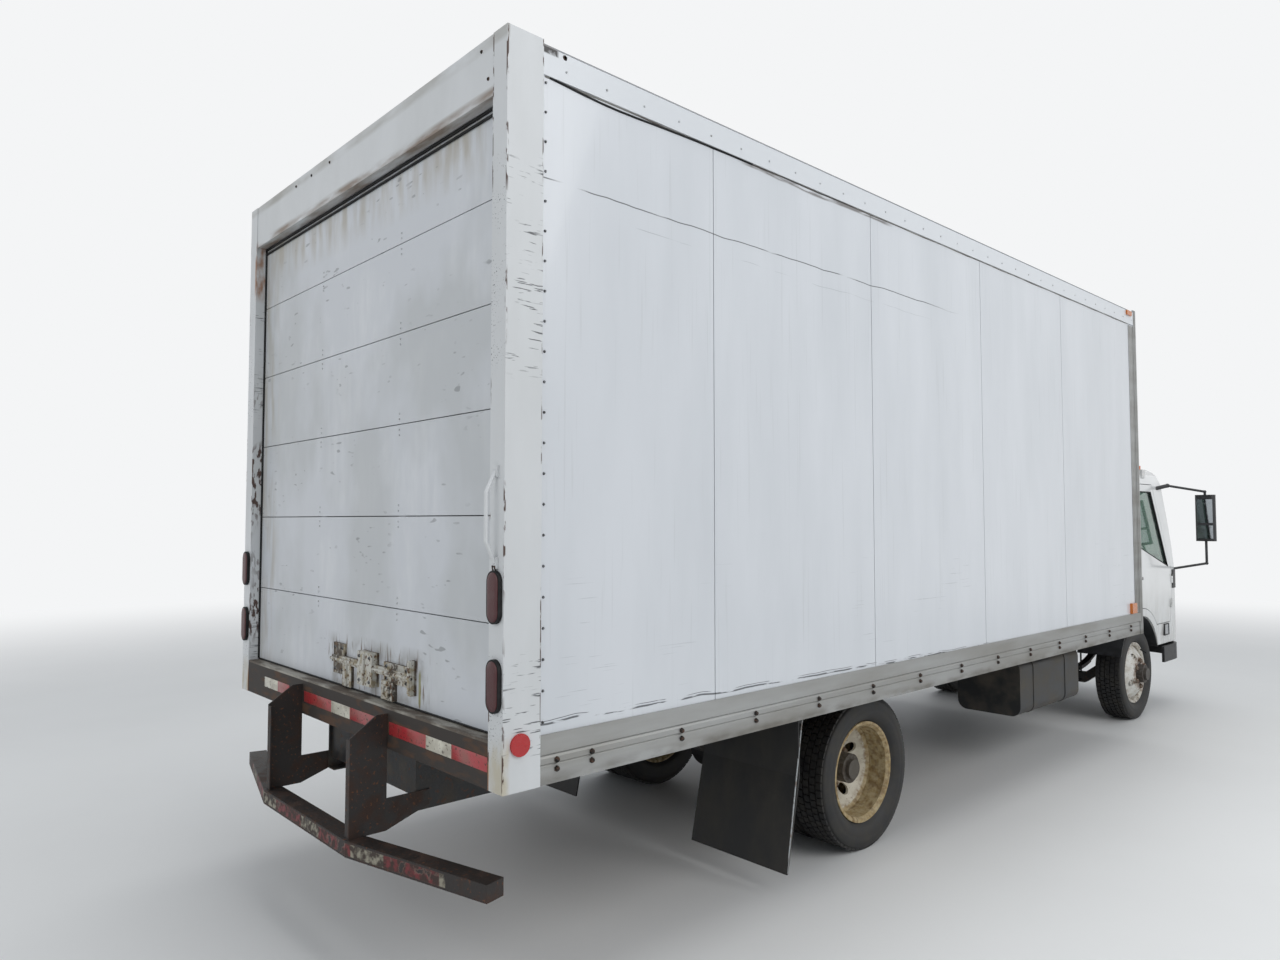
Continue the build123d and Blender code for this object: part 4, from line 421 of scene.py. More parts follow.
# The door pulls stand out past the skin at the height of the belt line and are black plastic.
coat(both(both_sides(CAB_HALF + 0.004, CAB_HALF + 0.05, 0.0005),
          band("Z", CAB_BELT - 0.066, CAB_BELT - 0.039, 0.0005)), "1C1D1E", 0.4)
relief(blotches(2.5, 0.3, 0.7, detail=1.0), 0.02)
dress(cab_paint, "cab_shell", "cab_door_right", "cab_door_left")

# %% [markdown]
# Trim is moulded plastic and rubber. Moulded ABS has a fine spark-eroded grain, about half a
# millimetre, drawn here at two so that it shows. Rubber is darker and goes grey with age.

# %% Plastics and rubber
EVEN = (1, 1, 1)
black_plastic = stained(
    "moulded_black_plastic", "1E1F20", 0.45, 0.0, [((50, 0.45, 0.7), ("36363A", 0.6, 0.6))],
    ((2, 0.3, 0.7, EVEN, 1.0), 0.08), "arch_liners", "grille", "mirrors", "corner_mouldings", "wipers",
    "aerial", "front_bumper")
cab_trim = stained("moulded_grey_trim", "55575C", 0.55, 0.0, [((90, 0.4, 0.7), ("494A4E", 0.65, 0.6))],
                   ((2, 0.3, 0.7, EVEN, 1.0), 0.1), "dashboard", "cab_floor")
stained("leathergrain_urethane", "1B1B1C", 0.5, 0.0, [((60, 0.45, 0.65), ("2B2B2C", 0.35, 0.7))],
        ((3, 0.35, 0.65, EVEN, 2.0), 0.15), "steering_wheel")
stained("sheet_rubber", "18191A", 0.6, 0.0, [((120, 0.4, 0.7, (1, 1, 2)), ("3B3833", 0.8, 0.7))],
        ((30, 0.3, 0.7), 0.5), "mud_flaps")
tyre_rubber = stained("cured_tyre_rubber", "1D1D1E", 0.62, 0.0, [((70, 0.4, 0.7), ("38352F", 0.8, 0.7))],
                      ((6, 0.3, 0.7), 0.25))
seal_rubber = stained("extruded_seal_rubber", "111213", 0.6, 0.0, [((40, 0.45, 0.7), ("2E2E2E", 0.7, 0.6))],
                      None, "tail_lamps", Specular_IOR_Level=0.25)

# %% [markdown]
# The wheel discs are pressed steel in off-white paint. Brake dust and rust creep out of every
# joint, strongest in the well of the rim and round the nuts, in rings about the axle.

# %% Wheel paint
def wheel_paint(name, axle_y, paint, rust, lip_colour):
    """Wheel enamel with rust in rings about one axle."""
    material = new_finish(name, paint, 0.45)
    reach = distance((0, axle_y, TYRE_RADIUS), (0, 1, 1))
    coat(blotches(60, 0.42, 0.7), "A89C86", 0.6, 0.55)
    well = both(between(reach, 0.222, 0.262, 0.02), blotches(22, 0.42, 0.64))
    nuts = both(between(reach, 0.06, 0.132, 0.02), blotches(18, 0.36, 0.6))
    coat(either(well, nuts), rust, 0.8, 0.8)
    coat(blotches(9, 0.62, 0.68), rust, 0.8, 0.7)
    lip = between(reach, 0.226, 0.30, 0.006)
    coat(lip, lip_colour, 0.6, 0.7)
    coat(both(lip, blotches(30, 0.46, 0.64)), "5E4326", 0.8, 0.6)
    coat(between(reach, -1, 0.08, 0.012), "2B2622", 0.7, 0.9)
    relief(blotches(12, 0.3, 0.7), 0.3)
    return material


dress(wheel_paint("wheel_enamel_front", FRONT_AXLE, "D9D8D2", "6E4A2C", "CBC7BC"),
      "front_rim_right", "front_rim_left")
dress(wheel_paint("wheel_enamel_rear", REAR_AXLE, "CDC7B6", "7B5A38", "A68F5C"),
      "rear_rims_right", "rear_rims_left")

# %% [markdown]
# Window glass has a green tint from the iron in it and a pale film of dust, and lets most of the
# light through. Mirrors are a metal with almost no roughness. Lens plastics let light in and are
# moulded with prisms, which the fine waves in the relief stand for.

# %% Glass, mirrors and lenses
DUST = (160, 0.45, 0.75)
GLASS = {"Transmission_Weight": 0.92, "IOR": 1.45}
stained("green_float_glass", "C2D3CA", 0.03, 0.0, [(DUST, ("B9BDB5", 0.2, 0.5))], None, "cab_glass", **GLASS)
# The door panes have a darker tint than the windscreen, which is painted shade for the dim cab behind them.
stained("dark_green_door_glass", "8DA399", 0.03, 0.0, [(DUST, ("B9BDB5", 0.2, 0.2))], None,
        "door_glass_right", "door_glass_left", **GLASS)
stained("silvered_glass", "D5D9DC", 0.04, 1.0, [((25, 0.55, 0.75), ("B9BDBE", 0.18, 0.5))], None, "mirror_glass")


def prisms(count_per_m, depth_mm):
    """A fine grid of moulded prisms in the relief."""
    grid = add_node("TexVoronoi", {"Vector": place, "Scale": count_per_m})
    relief(grid.outputs["Distance"], depth_mm)


def lens(name, colour, roughness=0.14, gloss=1.0, film=0.25):
    """Moulded lens plastic with prisms 4 mm apart and a coat of clear gloss."""
    material = new_finish(name, colour, roughness, Coat_Weight=gloss, Coat_Roughness=0.05, Transmission_Weight=0.25)
    prisms(250.0, 0.5)
    coat(blotches(40, 0.5, 0.7), "6B655C", 0.4, film)
    return material


red_lens = lens("moulded_red_lens", "4A0910", 0.4, 0.1, 0.06)
amber_lens = lens("moulded_amber_lens", "D9761A", 0.2, 0.3, 0.12)
coat(band("Y", 3.5, 5.0, 0.001), "C4161C", 0.2)
dress(amber_lens, "marker_lamps")
dome_lens = lens("moulded_amber_domes", "E0701A")
middle_base = patch(X=(-0.5, 0.5), Z=(2.0, 2.2755, 0.0005))
outer_base = both(both_sides(0.6, 1.2), band("Z", 2.0, 2.2155, 0.0005))
coat(either(middle_base, outer_base), "D5D6D4", 0.35)
dress(dome_lens, "roof_lamps")
clear_lens = lens("clear_lens_over_reflector", "8D9296", 0.1)
coat(both(both_sides(0.82, 1.2, 0.002), band("Y", -4.2, -3.8, 0.001)), "D27A1C", 0.2)
# Behind the clear part sit two bright bowls in a dark grey housing.
folded = add_node("VectorMath", {0: place}, operation="ABSOLUTE")
for bowl_x, radius in ((0.745, 0.058), (0.642, 0.036)):
    away = distance((bowl_x, 0, 0.742), (1, 0, 1), folded)
    coat(between(away, -1, radius + 0.003, 0.006), "4A4D50", 0.3)
    coat(between(away, -1, radius - 0.001, 0.002), "F1F3F4", 0.06, 1.0, 0.8)
dress(clear_lens, "cab_lamps")

# %% [markdown]
# A few steps come back in all new pieces: a built mesh becomes data and then an object, a
# modifier's result is read off, and rows of points get their faces.

# %% Mesh helpers
def mesh_data(mesh, name):
    """The data of a built mesh, which is then done with."""
    data = bpy.data.meshes.new(name)
    mesh.to_mesh(data)
    mesh.free()
    return data


def stand(name, data):
    """An object for the data, in the scene."""
    piece = bpy.data.objects.new(name, data)
    bpy.context.scene.collection.objects.link(piece)
    return piece


def evaluated(piece):
    """A plain mesh of what an object's modifiers or curve make of it."""
    return bpy.data.meshes.new_from_object(piece.evaluated_get(bpy.context.evaluated_depsgraph_get()))


def skin(mesh, rows, ring=False):
    """Faces between rows of points: a ring closes on its first row, anything else is capped."""
    for near, far in zip(rows, rows[1:] + (rows[:1] if ring else [])):
        for i in range(len(near)):
            j = (i + 1) % len(near)
            mesh.faces.new((near[i], near[j], far[j], far[i]))
    if not ring:
        mesh.faces.new(rows[0][::-1])
        mesh.faces.new(rows[-1])
    bmesh.ops.recalc_face_normals(mesh, faces=mesh.faces)


def lathe(name, outline, stands, turns, ring=False):
    """A profile of (height, radius) points turned about the Z axis of each stand."""
    mesh = bmesh.new()
    angles = [2 * pi * i / turns for i in range(turns)]
    for matrix in stands:
        skin(mesh, [[mesh.verts.new(matrix @ Vector((radius * cos(a), radius * sin(a), height))) for a in angles]
                    for height, radius in outline], ring)
    return mesh_data(mesh, name)


# %% [markdown]
# Bolts, screws and rivets stand in rows. A guide mesh of plain edges says where each row runs, and
# its attribute named out says which way the heads face. A Geometry Nodes tree walks the edges at a
# set pitch and stands a small tapered head on each step.

# %% Tree for rows of heads
def new_tree(name, inputs):
    """Open a Geometry Nodes tree with named inputs; returns it with its input node."""
    global tree
    tree = bpy.data.node_groups.new(name, "GeometryNodeTree")
    for way in ("INPUT", "OUTPUT"):
        tree.interface.new_socket("Geometry", in_out=way, socket_type="NodeSocketGeometry")
    for label, kind in {**inputs, "Finish": "Material"}.items():
        tree.interface.new_socket(label, in_out="INPUT", socket_type=f"NodeSocket{kind}")
    return tree, add_node("NodeGroupInput")


def close_tree(entry, geometry):
    """Turn instances into one mesh with the finish on it, and give that out."""
    real = add_node("GeometryNodeRealizeInstances", {"Geometry": geometry})
    coloured = add_node("GeometryNodeSetMaterial", {"Geometry": real, "Material": entry.outputs["Finish"]})
    add_node("NodeGroupOutput", {"Geometry": coloured})


head_rows, entry = new_tree("rows_of_heads", {"Pitch": "Float", "Radius": "Float", "Height": "Float", "Sides": "Int"})
path = add_node("GeometryNodeMeshToCurve", {"Mesh": entry})
steps = add_node("GeometryNodeResampleCurve", {"Curve": path, "Length": entry.outputs["Pitch"]}, mode="LENGTH")
crown = add_node("Math", {0: entry.outputs["Radius"], 1: 0.6}, operation="MULTIPLY")
head = add_node("GeometryNodeMeshCone", {
    "Vertices": entry.outputs["Sides"], "Radius Bottom": entry.outputs["Radius"], "Radius Top": crown,
    "Depth": entry.outputs["Height"]})
facing = add_node("GeometryNodeInputNamedAttribute", {"Name": "out"}, data_type="FLOAT_VECTOR")
aim = add_node("FunctionNodeAlignRotationToVector", {"Vector": facing}, axis="Z")
close_tree(entry, add_node("GeometryNodeInstanceOnPoints", {"Points": steps, "Instance": head, "Rotation": aim}))


def run_tree(piece, tree, **values):
    """Run a tree on an object with the given inputs and keep the result as its plain mesh."""
    modifier = piece.modifiers.new(tree.name, "NODES")
    modifier.node_group = tree
    for item in tree.interface.items_tree:
        if item.in_out == "INPUT" and item.name in values:
            modifier[item.identifier] = values[item.name]
    bpy.context.view_layer.update()
    result = evaluated(piece)
    piece.modifiers.remove(modifier)
    piece.data = result
    result.name = piece.name
    return piece


def heads(name, rows, pitch, radius, height, material, body="chassis", sides=8):
    """Rows of heads from (start, end, way they face) that ride on one body."""
    guide = bpy.data.meshes.new(name)
    guide.from_pydata([p for start, end, out in rows for p in (start, end)],
                      [(2 * i, 2 * i + 1) for i in range(len(rows))], [])
    facing = guide.attributes.new("out", "FLOAT_VECTOR", "POINT")
    facing.data.foreach_set("vector", [v for start, end, out in rows for v in (*out, *out)])
    piece = run_tree(stand(name, guide), head_rows, Pitch=pitch, Radius=radius, Height=height, Sides=sides,
                     Finish=material)
    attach(piece, body)
    print(name, len(piece.data.polygons), "faces")


def single(spots, out, step=0.0001):
    """Rows of one head each, which are shorter than any pitch."""
    return [((x, y, z), (x + step, y, z), out) for x, y, z in spots]


# %% [markdown]
# The heads themselves: black flange bolts in pairs where each floor bearer meets the rail, zinc
# screws down the edge of the wall next to the rear post, blind rivets along the roof rails and on
# the front wall, and carriage bolts on the door where its hinges sit behind the panels.

# %% Screw metals and rows on the load body
bolt_metal = stained("blackened_bolt_steel", "232323", 0.45, 0.6, [((9, 0.45, 0.6), ("5B3D2A", 0.8, 0.6, 0.1))])
screw_zinc = stained("dull_zinc_screws", "6E7072", 0.45, 0.7, [((7, 0.5, 0.6), ("3B3733", 0.7, 0.8, 0.2))])
rivet_white = stained("painted_rivets", "B7BABC", 0.35, 0.0, [((9, 0.5, 0.6), ("8B8B88", 0.5, 0.8))])

OUT = (1, 0, 0)
BACK = (0, 1, 0)
BEARER_STEPS = [0.225, 0.381] + [0.836 + 0.4505 * n for n in range(12)]
bolt_rows = [row for back in BEARER_STEPS for row in mirrored(
    (HALF - 0.004, REAR - back, 0.895), (HALF - 0.004, REAR - back, 0.926), OUT)]
screw_rows = mirrored((HALF - 0.0075, POST_FRONT - 0.014, 1.06), (HALF - 0.0075, POST_FRONT - 0.014, 3.29), OUT)
rail_rows = mirrored((HALF, POST_FRONT - 0.1, BODY_TOP - 0.085), (HALF, BODY_FRONT + 0.12, BODY_TOP - 0.085), OUT)
roof_rows = mirrored((HALF - 0.1, POST_FRONT - 0.02, BODY_TOP - 0.001),
                     (HALF - 0.1, BODY_FRONT + 0.06, BODY_TOP - 0.001), (0, 0, 1))
wall_rows = [((x, BODY_FRONT + 0.0075, 1.06), (x, BODY_FRONT + 0.0075, 3.3), (0, -1, 0))
             for x in (-0.8, -0.4, 0.0, 0.4, 0.8)]
hinge_rows = [((x, DOOR_FACE, z + way * 0.022), (x, DOOR_FACE, z + way * 0.044), BACK)
              for x in (-1.135, -0.392, 0.392, 1.135) for z in [1.015 + 0.375 * n for n in range(1, 6)]
              for way in (-1, 1)]
header_rows = single([(x, REAR - 0.003, z) for x, z in (
    (0.62, 3.405), (0.43, 3.405), (0.22, 3.405), (-1.075, 3.405), (-1.12, 3.29))], BACK)
heads("rail_bolts", bolt_rows, 0.031, 0.0115, 0.010, bolt_metal, sides=6)
heads("post_screws", screw_rows, 0.105, 0.0055, 0.005, screw_zinc)
heads("rail_rivets", rail_rows, 0.19, 0.005, 0.004, rivet_white)
heads("roof_rivets", roof_rows, 0.075, 0.005, 0.0009, rivet_white)
heads("front_wall_rivets", wall_rows, 0.1, 0.005, 0.004, rivet_white)
heads("door_hinge_bolts", hinge_rows, 0.022, 0.0048, 0.003, rivet_white)
heads("header_screws", header_rows, 0.1, 0.0075, 0.004, bolt_metal)

# %% [markdown]
# A truck tyre is a spun carcass with a tread of ribs cut into blocks. The tread is a Geometry Nodes
# tree: for each rib a ring of points, with a block on each point turned to face outwards, and every
# second rib moved by half a block, which is how a highway tread is cut.

# %% Tyre carcass and tread
BLOCKS = 64
BLOCK_SIZE = (0.031, 0.033, 0.012)
TREAD_RADIUS = 0.3955
TYRE_WIDTH = 0.226
tread, entry = new_tree("tread_of_blocks", {})
block = add_node("GeometryNodeMeshCube", {"Size": BLOCK_SIZE})
circle = add_node("GeometryNodeMeshCircle", {"Vertices": BLOCKS, "Radius": TREAD_RADIUS})
upright = add_node("GeometryNodeTransform", {"Geometry": circle, "Rotation": (0, pi / 2, 0)})
spot = add_node("GeometryNodeInputPosition")
outward = add_node("VectorMath", {0: spot, 1: (0, 1, 1)}, operation="MULTIPLY")
aim = add_node("FunctionNodeAlignRotationToVector", {"Vector": outward}, axis="Z", pivot_axis="X")
join = add_node("GeometryNodeJoinGeometry", {"Geometry": entry})
for number, offset in enumerate((-0.078, -0.039, 0.0, 0.039, 0.078)):
    rib = add_node("GeometryNodeTransform", {
        "Geometry": upright, "Rotation": (number % 2 * pi / BLOCKS, 0, 0), "Translation": (offset, 0, 0)})
    cut = add_node("GeometryNodeInstanceOnPoints", {"Points": rib, "Instance": block, "Rotation": aim})
    tread.links.new(cut.outputs[0], join.inputs[0])
close_tree(entry, join)

CARCASS = [  # distance from the tyre's middle plane, distance from the axle's line
    (0.070, 0.252), (0.078, 0.268), (0.093, 0.277), (0.104, 0.292), (0.1105, 0.312), (0.1125, 0.326),
    (0.1105, 0.340), (0.1115, 0.343), (0.109, 0.362), (0.106, 0.376), (0.103, 0.384), (0.096, 0.390)]
ALONG_AXLE = Matrix(((0, 0, 1, 0), (1, 0, 0, 0), (0, 1, 0, 0), (0, 0, 0, 1)))
carcass = lathe("one_tyre", [(-x, r) for x, r in CARCASS] + CARCASS[::-1], [ALONG_AXLE], 96, ring=True)
carcass.shade_smooth()
one_tyre = run_tree(stand("one_tyre", carcass), tread, Finish=tyre_rubber)
tyre_mesh = one_tyre.data
bpy.data.objects.remove(one_tyre)


def tyres(name, node, body, xs, axle):
    """Copies of the tyre at some x places on an axle, as one piece."""
    mesh = bmesh.new()
    for x in xs:
        copy = tyre_mesh.copy()
        copy.transform(Matrix.Translation((x, axle, TYRE_RADIUS)))
        mesh.from_mesh(copy)
        bpy.data.meshes.remove(copy)
    data = mesh_data(mesh, name)
    for material in tyre_mesh.materials:
        data.materials.append(material)
    piece = stand(name, data)
    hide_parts(node)
    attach(piece, body)


for name in SIDES:
    low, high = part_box(f"front_tyre_{name}")
    tyres(f"front_tyre_tread_{name}", f"front_tyre_{name}", f"front_wheel_{name}", [(low.x + high.x) / 2], FRONT_AXLE)
    low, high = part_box(f"rear_tyres_{name}")
    tyres(f"rear_tyre_treads_{name}", f"rear_tyres_{name}", f"rear_wheels_{name}",
          (low.x + TYRE_WIDTH / 2, high.x - TYRE_WIDTH / 2), REAR_AXLE)
print("tyre", len(tyre_mesh.polygons), "faces")

# %% [markdown]
# Three small makers serve for plain shapes. One makes blocks with their edges eased by a
# millimetre or so, because real sheet and rubber never end in a perfectly sharp line. One runs a
# round bar through points. One turns a profile about an axis, for dials, caps and valves.

# %% Makers for plain pieces
def placed(name, data, material, slot, body="chassis", angle=40):
    """Put a mesh in the scene as a piece that rides on a body, smooth where it bends gently."""
    data.name = name
    data.materials.clear()
    data.materials.append(material)
    data.shade_smooth()
    data.set_sharp_from_angle(angle=radians(angle))
    piece = stand(name, data)
    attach(piece, body)
    print(name, len(data.polygons), "faces")
    return piece


def blocks(name, boxes, ease, *look):
    """Blocks between (x, y, z) corners with eased edges, as one piece."""
    mesh = bmesh.new()
    for low, high in boxes:
        size = [abs(b - a) for a, b in zip(low, high)]
        middle = [(a + b) / 2 for a, b in zip(low, high)]
        bmesh.ops.create_cube(mesh, size=1.0, matrix=Matrix.Translation(middle) @ Matrix.Diagonal((*size, 1.0)))
    bmesh.ops.bevel(mesh, geom=mesh.edges[:], offset=ease, segments=2, profile=0.5, affect="EDGES")
    placed(name, mesh_data(mesh, name), *look)


def bars(name, runs, radius, *look, closed=False):
    """A round bar through each run of points, as one piece."""
    curve = bpy.data.curves.new(name, "CURVE")
    curve.dimensions = "3D"
    curve.bevel_depth = radius
    curve.bevel_resolution = 2
    curve.use_fill_caps = not closed
    for run in runs:
        line = curve.splines.new("POLY")
        line.points.add(len(run) - 1)
        line.points.foreach_set("co", [v for point in run for v in (*point, 1.0)])
        line.use_cyclic_u = closed
    shape = stand(name, curve)
    data = evaluated(shape)
    bpy.data.objects.remove(shape)
    placed(name, data, *look)


def turned(name, spots, outline, turns, *look):
    """A (height, radius) profile turned about an axis at each (spot, direction), as one piece."""
    stands = [Matrix.Translation(spot) @ Vector(way).to_track_quat("Z", "Y").to_matrix().to_4x4()
              for spot, way in spots]
    placed(name, lathe(name, outline, stands, turns), *look)


# %% [markdown]
# Reflective tape is a film of prisms 3 mm wide under clear plastic, in red and white lengths. It
# runs along the sill in pieces, with gaps where the step's plates are welded on, and dirt dulls it.

# %% Reflective tape on the sill
TAPE_LOW, TAPE_HIGH = 0.905, 0.955
SILL_FACE = REAR - 0.002
TAPE_RUNS = {"red": ("A62A30", ((0.737, 0.59), (0.406, 0.103), (-0.086, -0.418), (-0.445, -0.736), (-0.918, -1.15))),
             "white": ("CFCBBB", ((0.915, 0.737), (0.103, -0.086), (-0.736, -0.918)))}
for colour, (shade, runs) in TAPE_RUNS.items():
    film = new_finish(f"{colour}_prism_film", shade, 0.3, Coat_Weight=0.4, Coat_Roughness=0.2)
    prisms(330.0, 0.2)
    coat(blotches(60, 0.4, 0.66), "6E5F50", 0.6, 0.5)
    coat(blotches(14, 0.6, 0.66), "3A2D24", 0.7, 0.8)
    blocks(f"sill_tape_{colour}", [((left, SILL_FACE, TAPE_LOW), (right, SILL_FACE + 0.0012, TAPE_HIGH))
                                   for left, right in runs], 0.0004, film, "rusty_step")

# %% [markdown]
# The tail lamps are sealed ovals in rubber grommets. The rubber is the CAD piece. The lens is a
# shallow dome inside it, built as shrinking copies of one upright oval, each set further out.

# %% Lenses of the tail lamps
LAMP_X = HALF - 0.046
LAMP_TURNS = 32
mesh = bmesh.new()
for side in SIDES.values():
    for z in (1.492, 1.198):
        rows = []
        for half_long, half_wide, out in ((0.083, 0.032, 0.0135), (0.083, 0.032, 0.0155), (0.080, 0.029, 0.0175),
                                          (0.066, 0.015, 0.0185)):
            rows.append([])
            for i in range(LAMP_TURNS):
                angle = 2 * pi * i / LAMP_TURNS
                lift = half_long - half_wide if sin(angle) >= 0 else half_wide - half_long
                rows[-1].append(mesh.verts.new((side * LAMP_X + half_wide * cos(angle), REAR + out,
                                                z + lift + half_wide * sin(angle))))
        skin(mesh, rows)
placed("tail_lamp_lenses", mesh_data(mesh, "tail_lamp_lenses"), red_lens, "lamp_red")

# %% [markdown]
# Behind each front post a flat cover of the same aluminium laps over the first panel's edge, so
# that the bare corner is about 190 mm wide. Two shallow beads stiffen it, and a cast plate closes
# the post's hollow top.

# %% Covers behind the front posts
covers = mirrored((HALF - 0.0085, BODY_FRONT + 0.0935, 1.0195), (HALF - 0.0032, POST_COVER, 3.3045))
for y in (BODY_FRONT + 0.118, BODY_FRONT + 0.152):
    covers += mirrored((HALF - 0.0045, y, 1.03), (HALF - 0.0012, y + 0.008, 3.294))
caps = mirrored((HALF - 0.096, BODY_FRONT + 0.004, BODY_TOP - 0.014),
                (HALF - 0.02, BODY_FRONT + 0.094, BODY_TOP - 0.0015))
blocks("front_post_covers", covers, 0.0011, rail_metal, "rail_alloy")
blocks("front_post_caps", caps, 0.001, rail_metal, "rail_alloy")

# %% [markdown]
# Water is kept out by rubber. A bulb seal runs up each side of the door and a double one under the
# header, and a bead of sealant closes the joint between each rear post and the wall. Under the
# roof rail the bead has gone black near the back, and it sags a little, so its points wander.

# %% Seals of the load body
post_x = HALF - 0.088
RUBBER = (seal_rubber, "black_plastic")
seal_runs = mirrored((post_x - 0.001, DOOR_FACE + 0.004, 1.016), (post_x - 0.001, DOOR_FACE + 0.004, 3.218))
seal_runs += [((-post_x, DOOR_FACE + 0.005, z), (post_x, DOOR_FACE + 0.005, z)) for z in (3.214, 3.192)]
bars("door_bulb_seals", seal_runs, 0.0055, *RUBBER)
bars("door_sill_seal", [((0.01 - post_x, DOOR_FACE + 0.002, 1.0145), (post_x - 0.01, DOOR_FACE + 0.002, 1.0145))],
     0.004, *RUBBER)

sealant = new_finish("aged_sealant", "8E8C86", 0.5)
coat(band("Y", 1.9, 2.66, 0.06), "2C2622", 0.6, 0.9)
coat(band("Y", POST_FRONT - 0.006, POST_FRONT + 0.006, 0.002), "3B3B3C", 0.6, 0.85)
coat(blotches(30, 0.45, 0.6, (1, 4, 1)), "4B4037", 0.6, 0.7)
bead_x = HALF - 0.0078
bead_runs = mirrored(*[(bead_x, POST_FRONT - 0.0015, 1.02 + 0.19 * n) for n in range(13)])
bead_runs += mirrored(*[(bead_x, POST_FRONT - 0.01 - 0.147 * n, 3.3115 - 0.0018 * sin(n * 1.9)) for n in range(40)])
bars("wall_sealant", bead_runs, 0.0028, sealant, "black_plastic")
# Along the rear panel the bead has let go and hangs in a bow, 15 mm down at its lowest.
SAG = ((3.765, 3.313), (3.70, 3.309), (3.61, 3.303), (3.52, 3.299), (3.44, 3.298), (3.34, 3.300), (3.23, 3.304),
       (3.12, 3.307), (3.02, 3.309), (2.91, 3.310), (2.80, 3.311), (2.66, 3.311))
bars("hanging_sealant", [[(0.0070 - HALF, y, z) for y, z in SAG]], 0.0042, *RUBBER)
heads("drain_plugs", mirrored((HALF, 3.701, 3.405), (HALF, 3.7011, 3.405), OUT), 0.1, 0.010, 0.003, bolt_metal,
      sides=16)

# %% [markdown]
# The door latch is hardware bolted through the door: a slide bar in guides and a hasp over a
# staple. Its plates come from the CAD. What is added are the round bars, the staple's ring, the
# rivet heads, and the small wire clip over the grab handle.

# %% Latch fittings
LATCH_Z = 1.035
LATCH = (latch_steel, "galvanised")
rods = [[(x, DOOR_FACE + out, LATCH_Z + z) for x, z in ends] for out, *ends in (
    (0.026, (-0.56, 0.097), (0.18, 0.097)), (0.037, (-0.17, 0.15), (-0.17, 0.03)),
    (0.016, (0.042, 0.09), (0.042, -0.012)), (0.028, (-0.548, 0.16), (-0.548, 0.04)))]
bars("latch_rods", rods, 0.007, *LATCH)
ring_points = [(-0.35 + 0.026 * cos(a * pi / 8), DOOR_FACE + 0.024, LATCH_Z + 0.02 + 0.026 * sin(a * pi / 8))
               for a in range(16)]
bars("latch_ring", [ring_points], 0.005, *LATCH, closed=True)
bars("handle_clip", [((near - LAMP_X, REAR + 0.004, 1.573), (far - LAMP_X, REAR + 0.012, 1.597))
                     for near, far in ((-0.01, -0.004), (0.012, 0.006))], 0.0028, bolt_metal, "galvanised")
latch_spots = [(x, DOOR_FACE + out, LATCH_Z + z) for out, xs, zs in (
    (0.01, (0.095, 0.17), (0.05, 0.145)), (0.034, (-0.125, -0.22), (0.04, 0.14)),
    (0.012, (-0.33, -0.5), (0.12, 0.07))) for x in xs for z in zs]
heads("latch_bolts", single(latch_spots, BACK), 0.1, 0.008, 0.005, screw_zinc)

# %% [markdown]
# Wheels are held by flanged nuts on studs, with a rubber valve stem reaching out of the disc. The
# studs are in the CAD. The nuts are six-sided heads from the same tree that made the screws, and
# they ride with their wheel, so each wheel has a piece of its own.

# %% Nuts and valves
nut_steel = stained("rusted_wheel_nuts", "6F675B", 0.55, 0.6, [((12, 0.42, 0.58), ("5B3A24", 0.85, 0.9, 0.1))],
                    ((4, 0.3, 0.7), 0.2))
STUD_CIRCLE = 0.111
STEM = ((0.0, 0.0085), (0.012, 0.0075), (0.02, 0.004), (0.042, 0.004), (0.043, 0.0052), (0.052, 0.0052),
        (0.053, 0.003))  # height, radius
WHEELS = (  # wheels, disc's outer face from the truck's middle, axle
    ("front_wheel", 0.945, FRONT_AXLE), ("rear_wheels", 0.798, REAR_AXLE))
for wheels, face, axle in WHEELS:
    for name, side in SIDES.items():
        body = f"{wheels}_{name}"
        angles = [radians(60 * number + 30) for number in range(6)]
        nuts = [(side * (face + 0.008), axle + STUD_CIRCLE * cos(a), TYRE_RADIUS + STUD_CIRCLE * sin(a))
                for a in angles]
        heads(f"nuts_{body}", single(nuts, (side, 0, 0), side * 0.0001), 0.1, 0.024, 0.016, nut_steel,
              body, 6)
        valve = Vector((side * (face + 0.02), axle + 0.02, TYRE_RADIUS + 0.212))
        turned(f"valve_{body}", [(valve, (side, 0, -0.6))], STEM, 12, *RUBBER, body)

# %% [markdown]
# The driver's seat and the bench are foam under woven cloth. Each cushion starts as its CAD space
# drawn in a little, cut into even cells. A cloth simulation with air pressure inside swells it, no
# point may leave the CAD space, and the cloth then dips by a few millimetres along each seam.

# %% Seat cushions
seat_cloth = new_finish("woven_seat_cloth", "565A60", 0.85, Sheen_Weight=0.25, Sheen_Roughness=0.4)
# Threads 1.6 mm apart cross each other; two wave patterns at right angles stand for them.
warp, weft = (add_node("TexWave", {"Vector": place, "Scale": 100.0}, bands_direction=way).outputs["Fac"]
              for way in "XY")
relief(add_node("Math", {0: warp, 1: weft}, operation="ADD"), 0.15)
coat(blotches(130, 0.42, 0.7), "47494D", 0.9, 0.6)
coat(blotches(30, 0.58, 0.7), "6E675D", 0.9, 0.5)

DRAWN_IN = 0.014
EASED = 0.02
CELL = 0.011
PRESSURE = 4.0
SEAM_WIDTH = 0.006
SEAM_DEPTH = 0.008


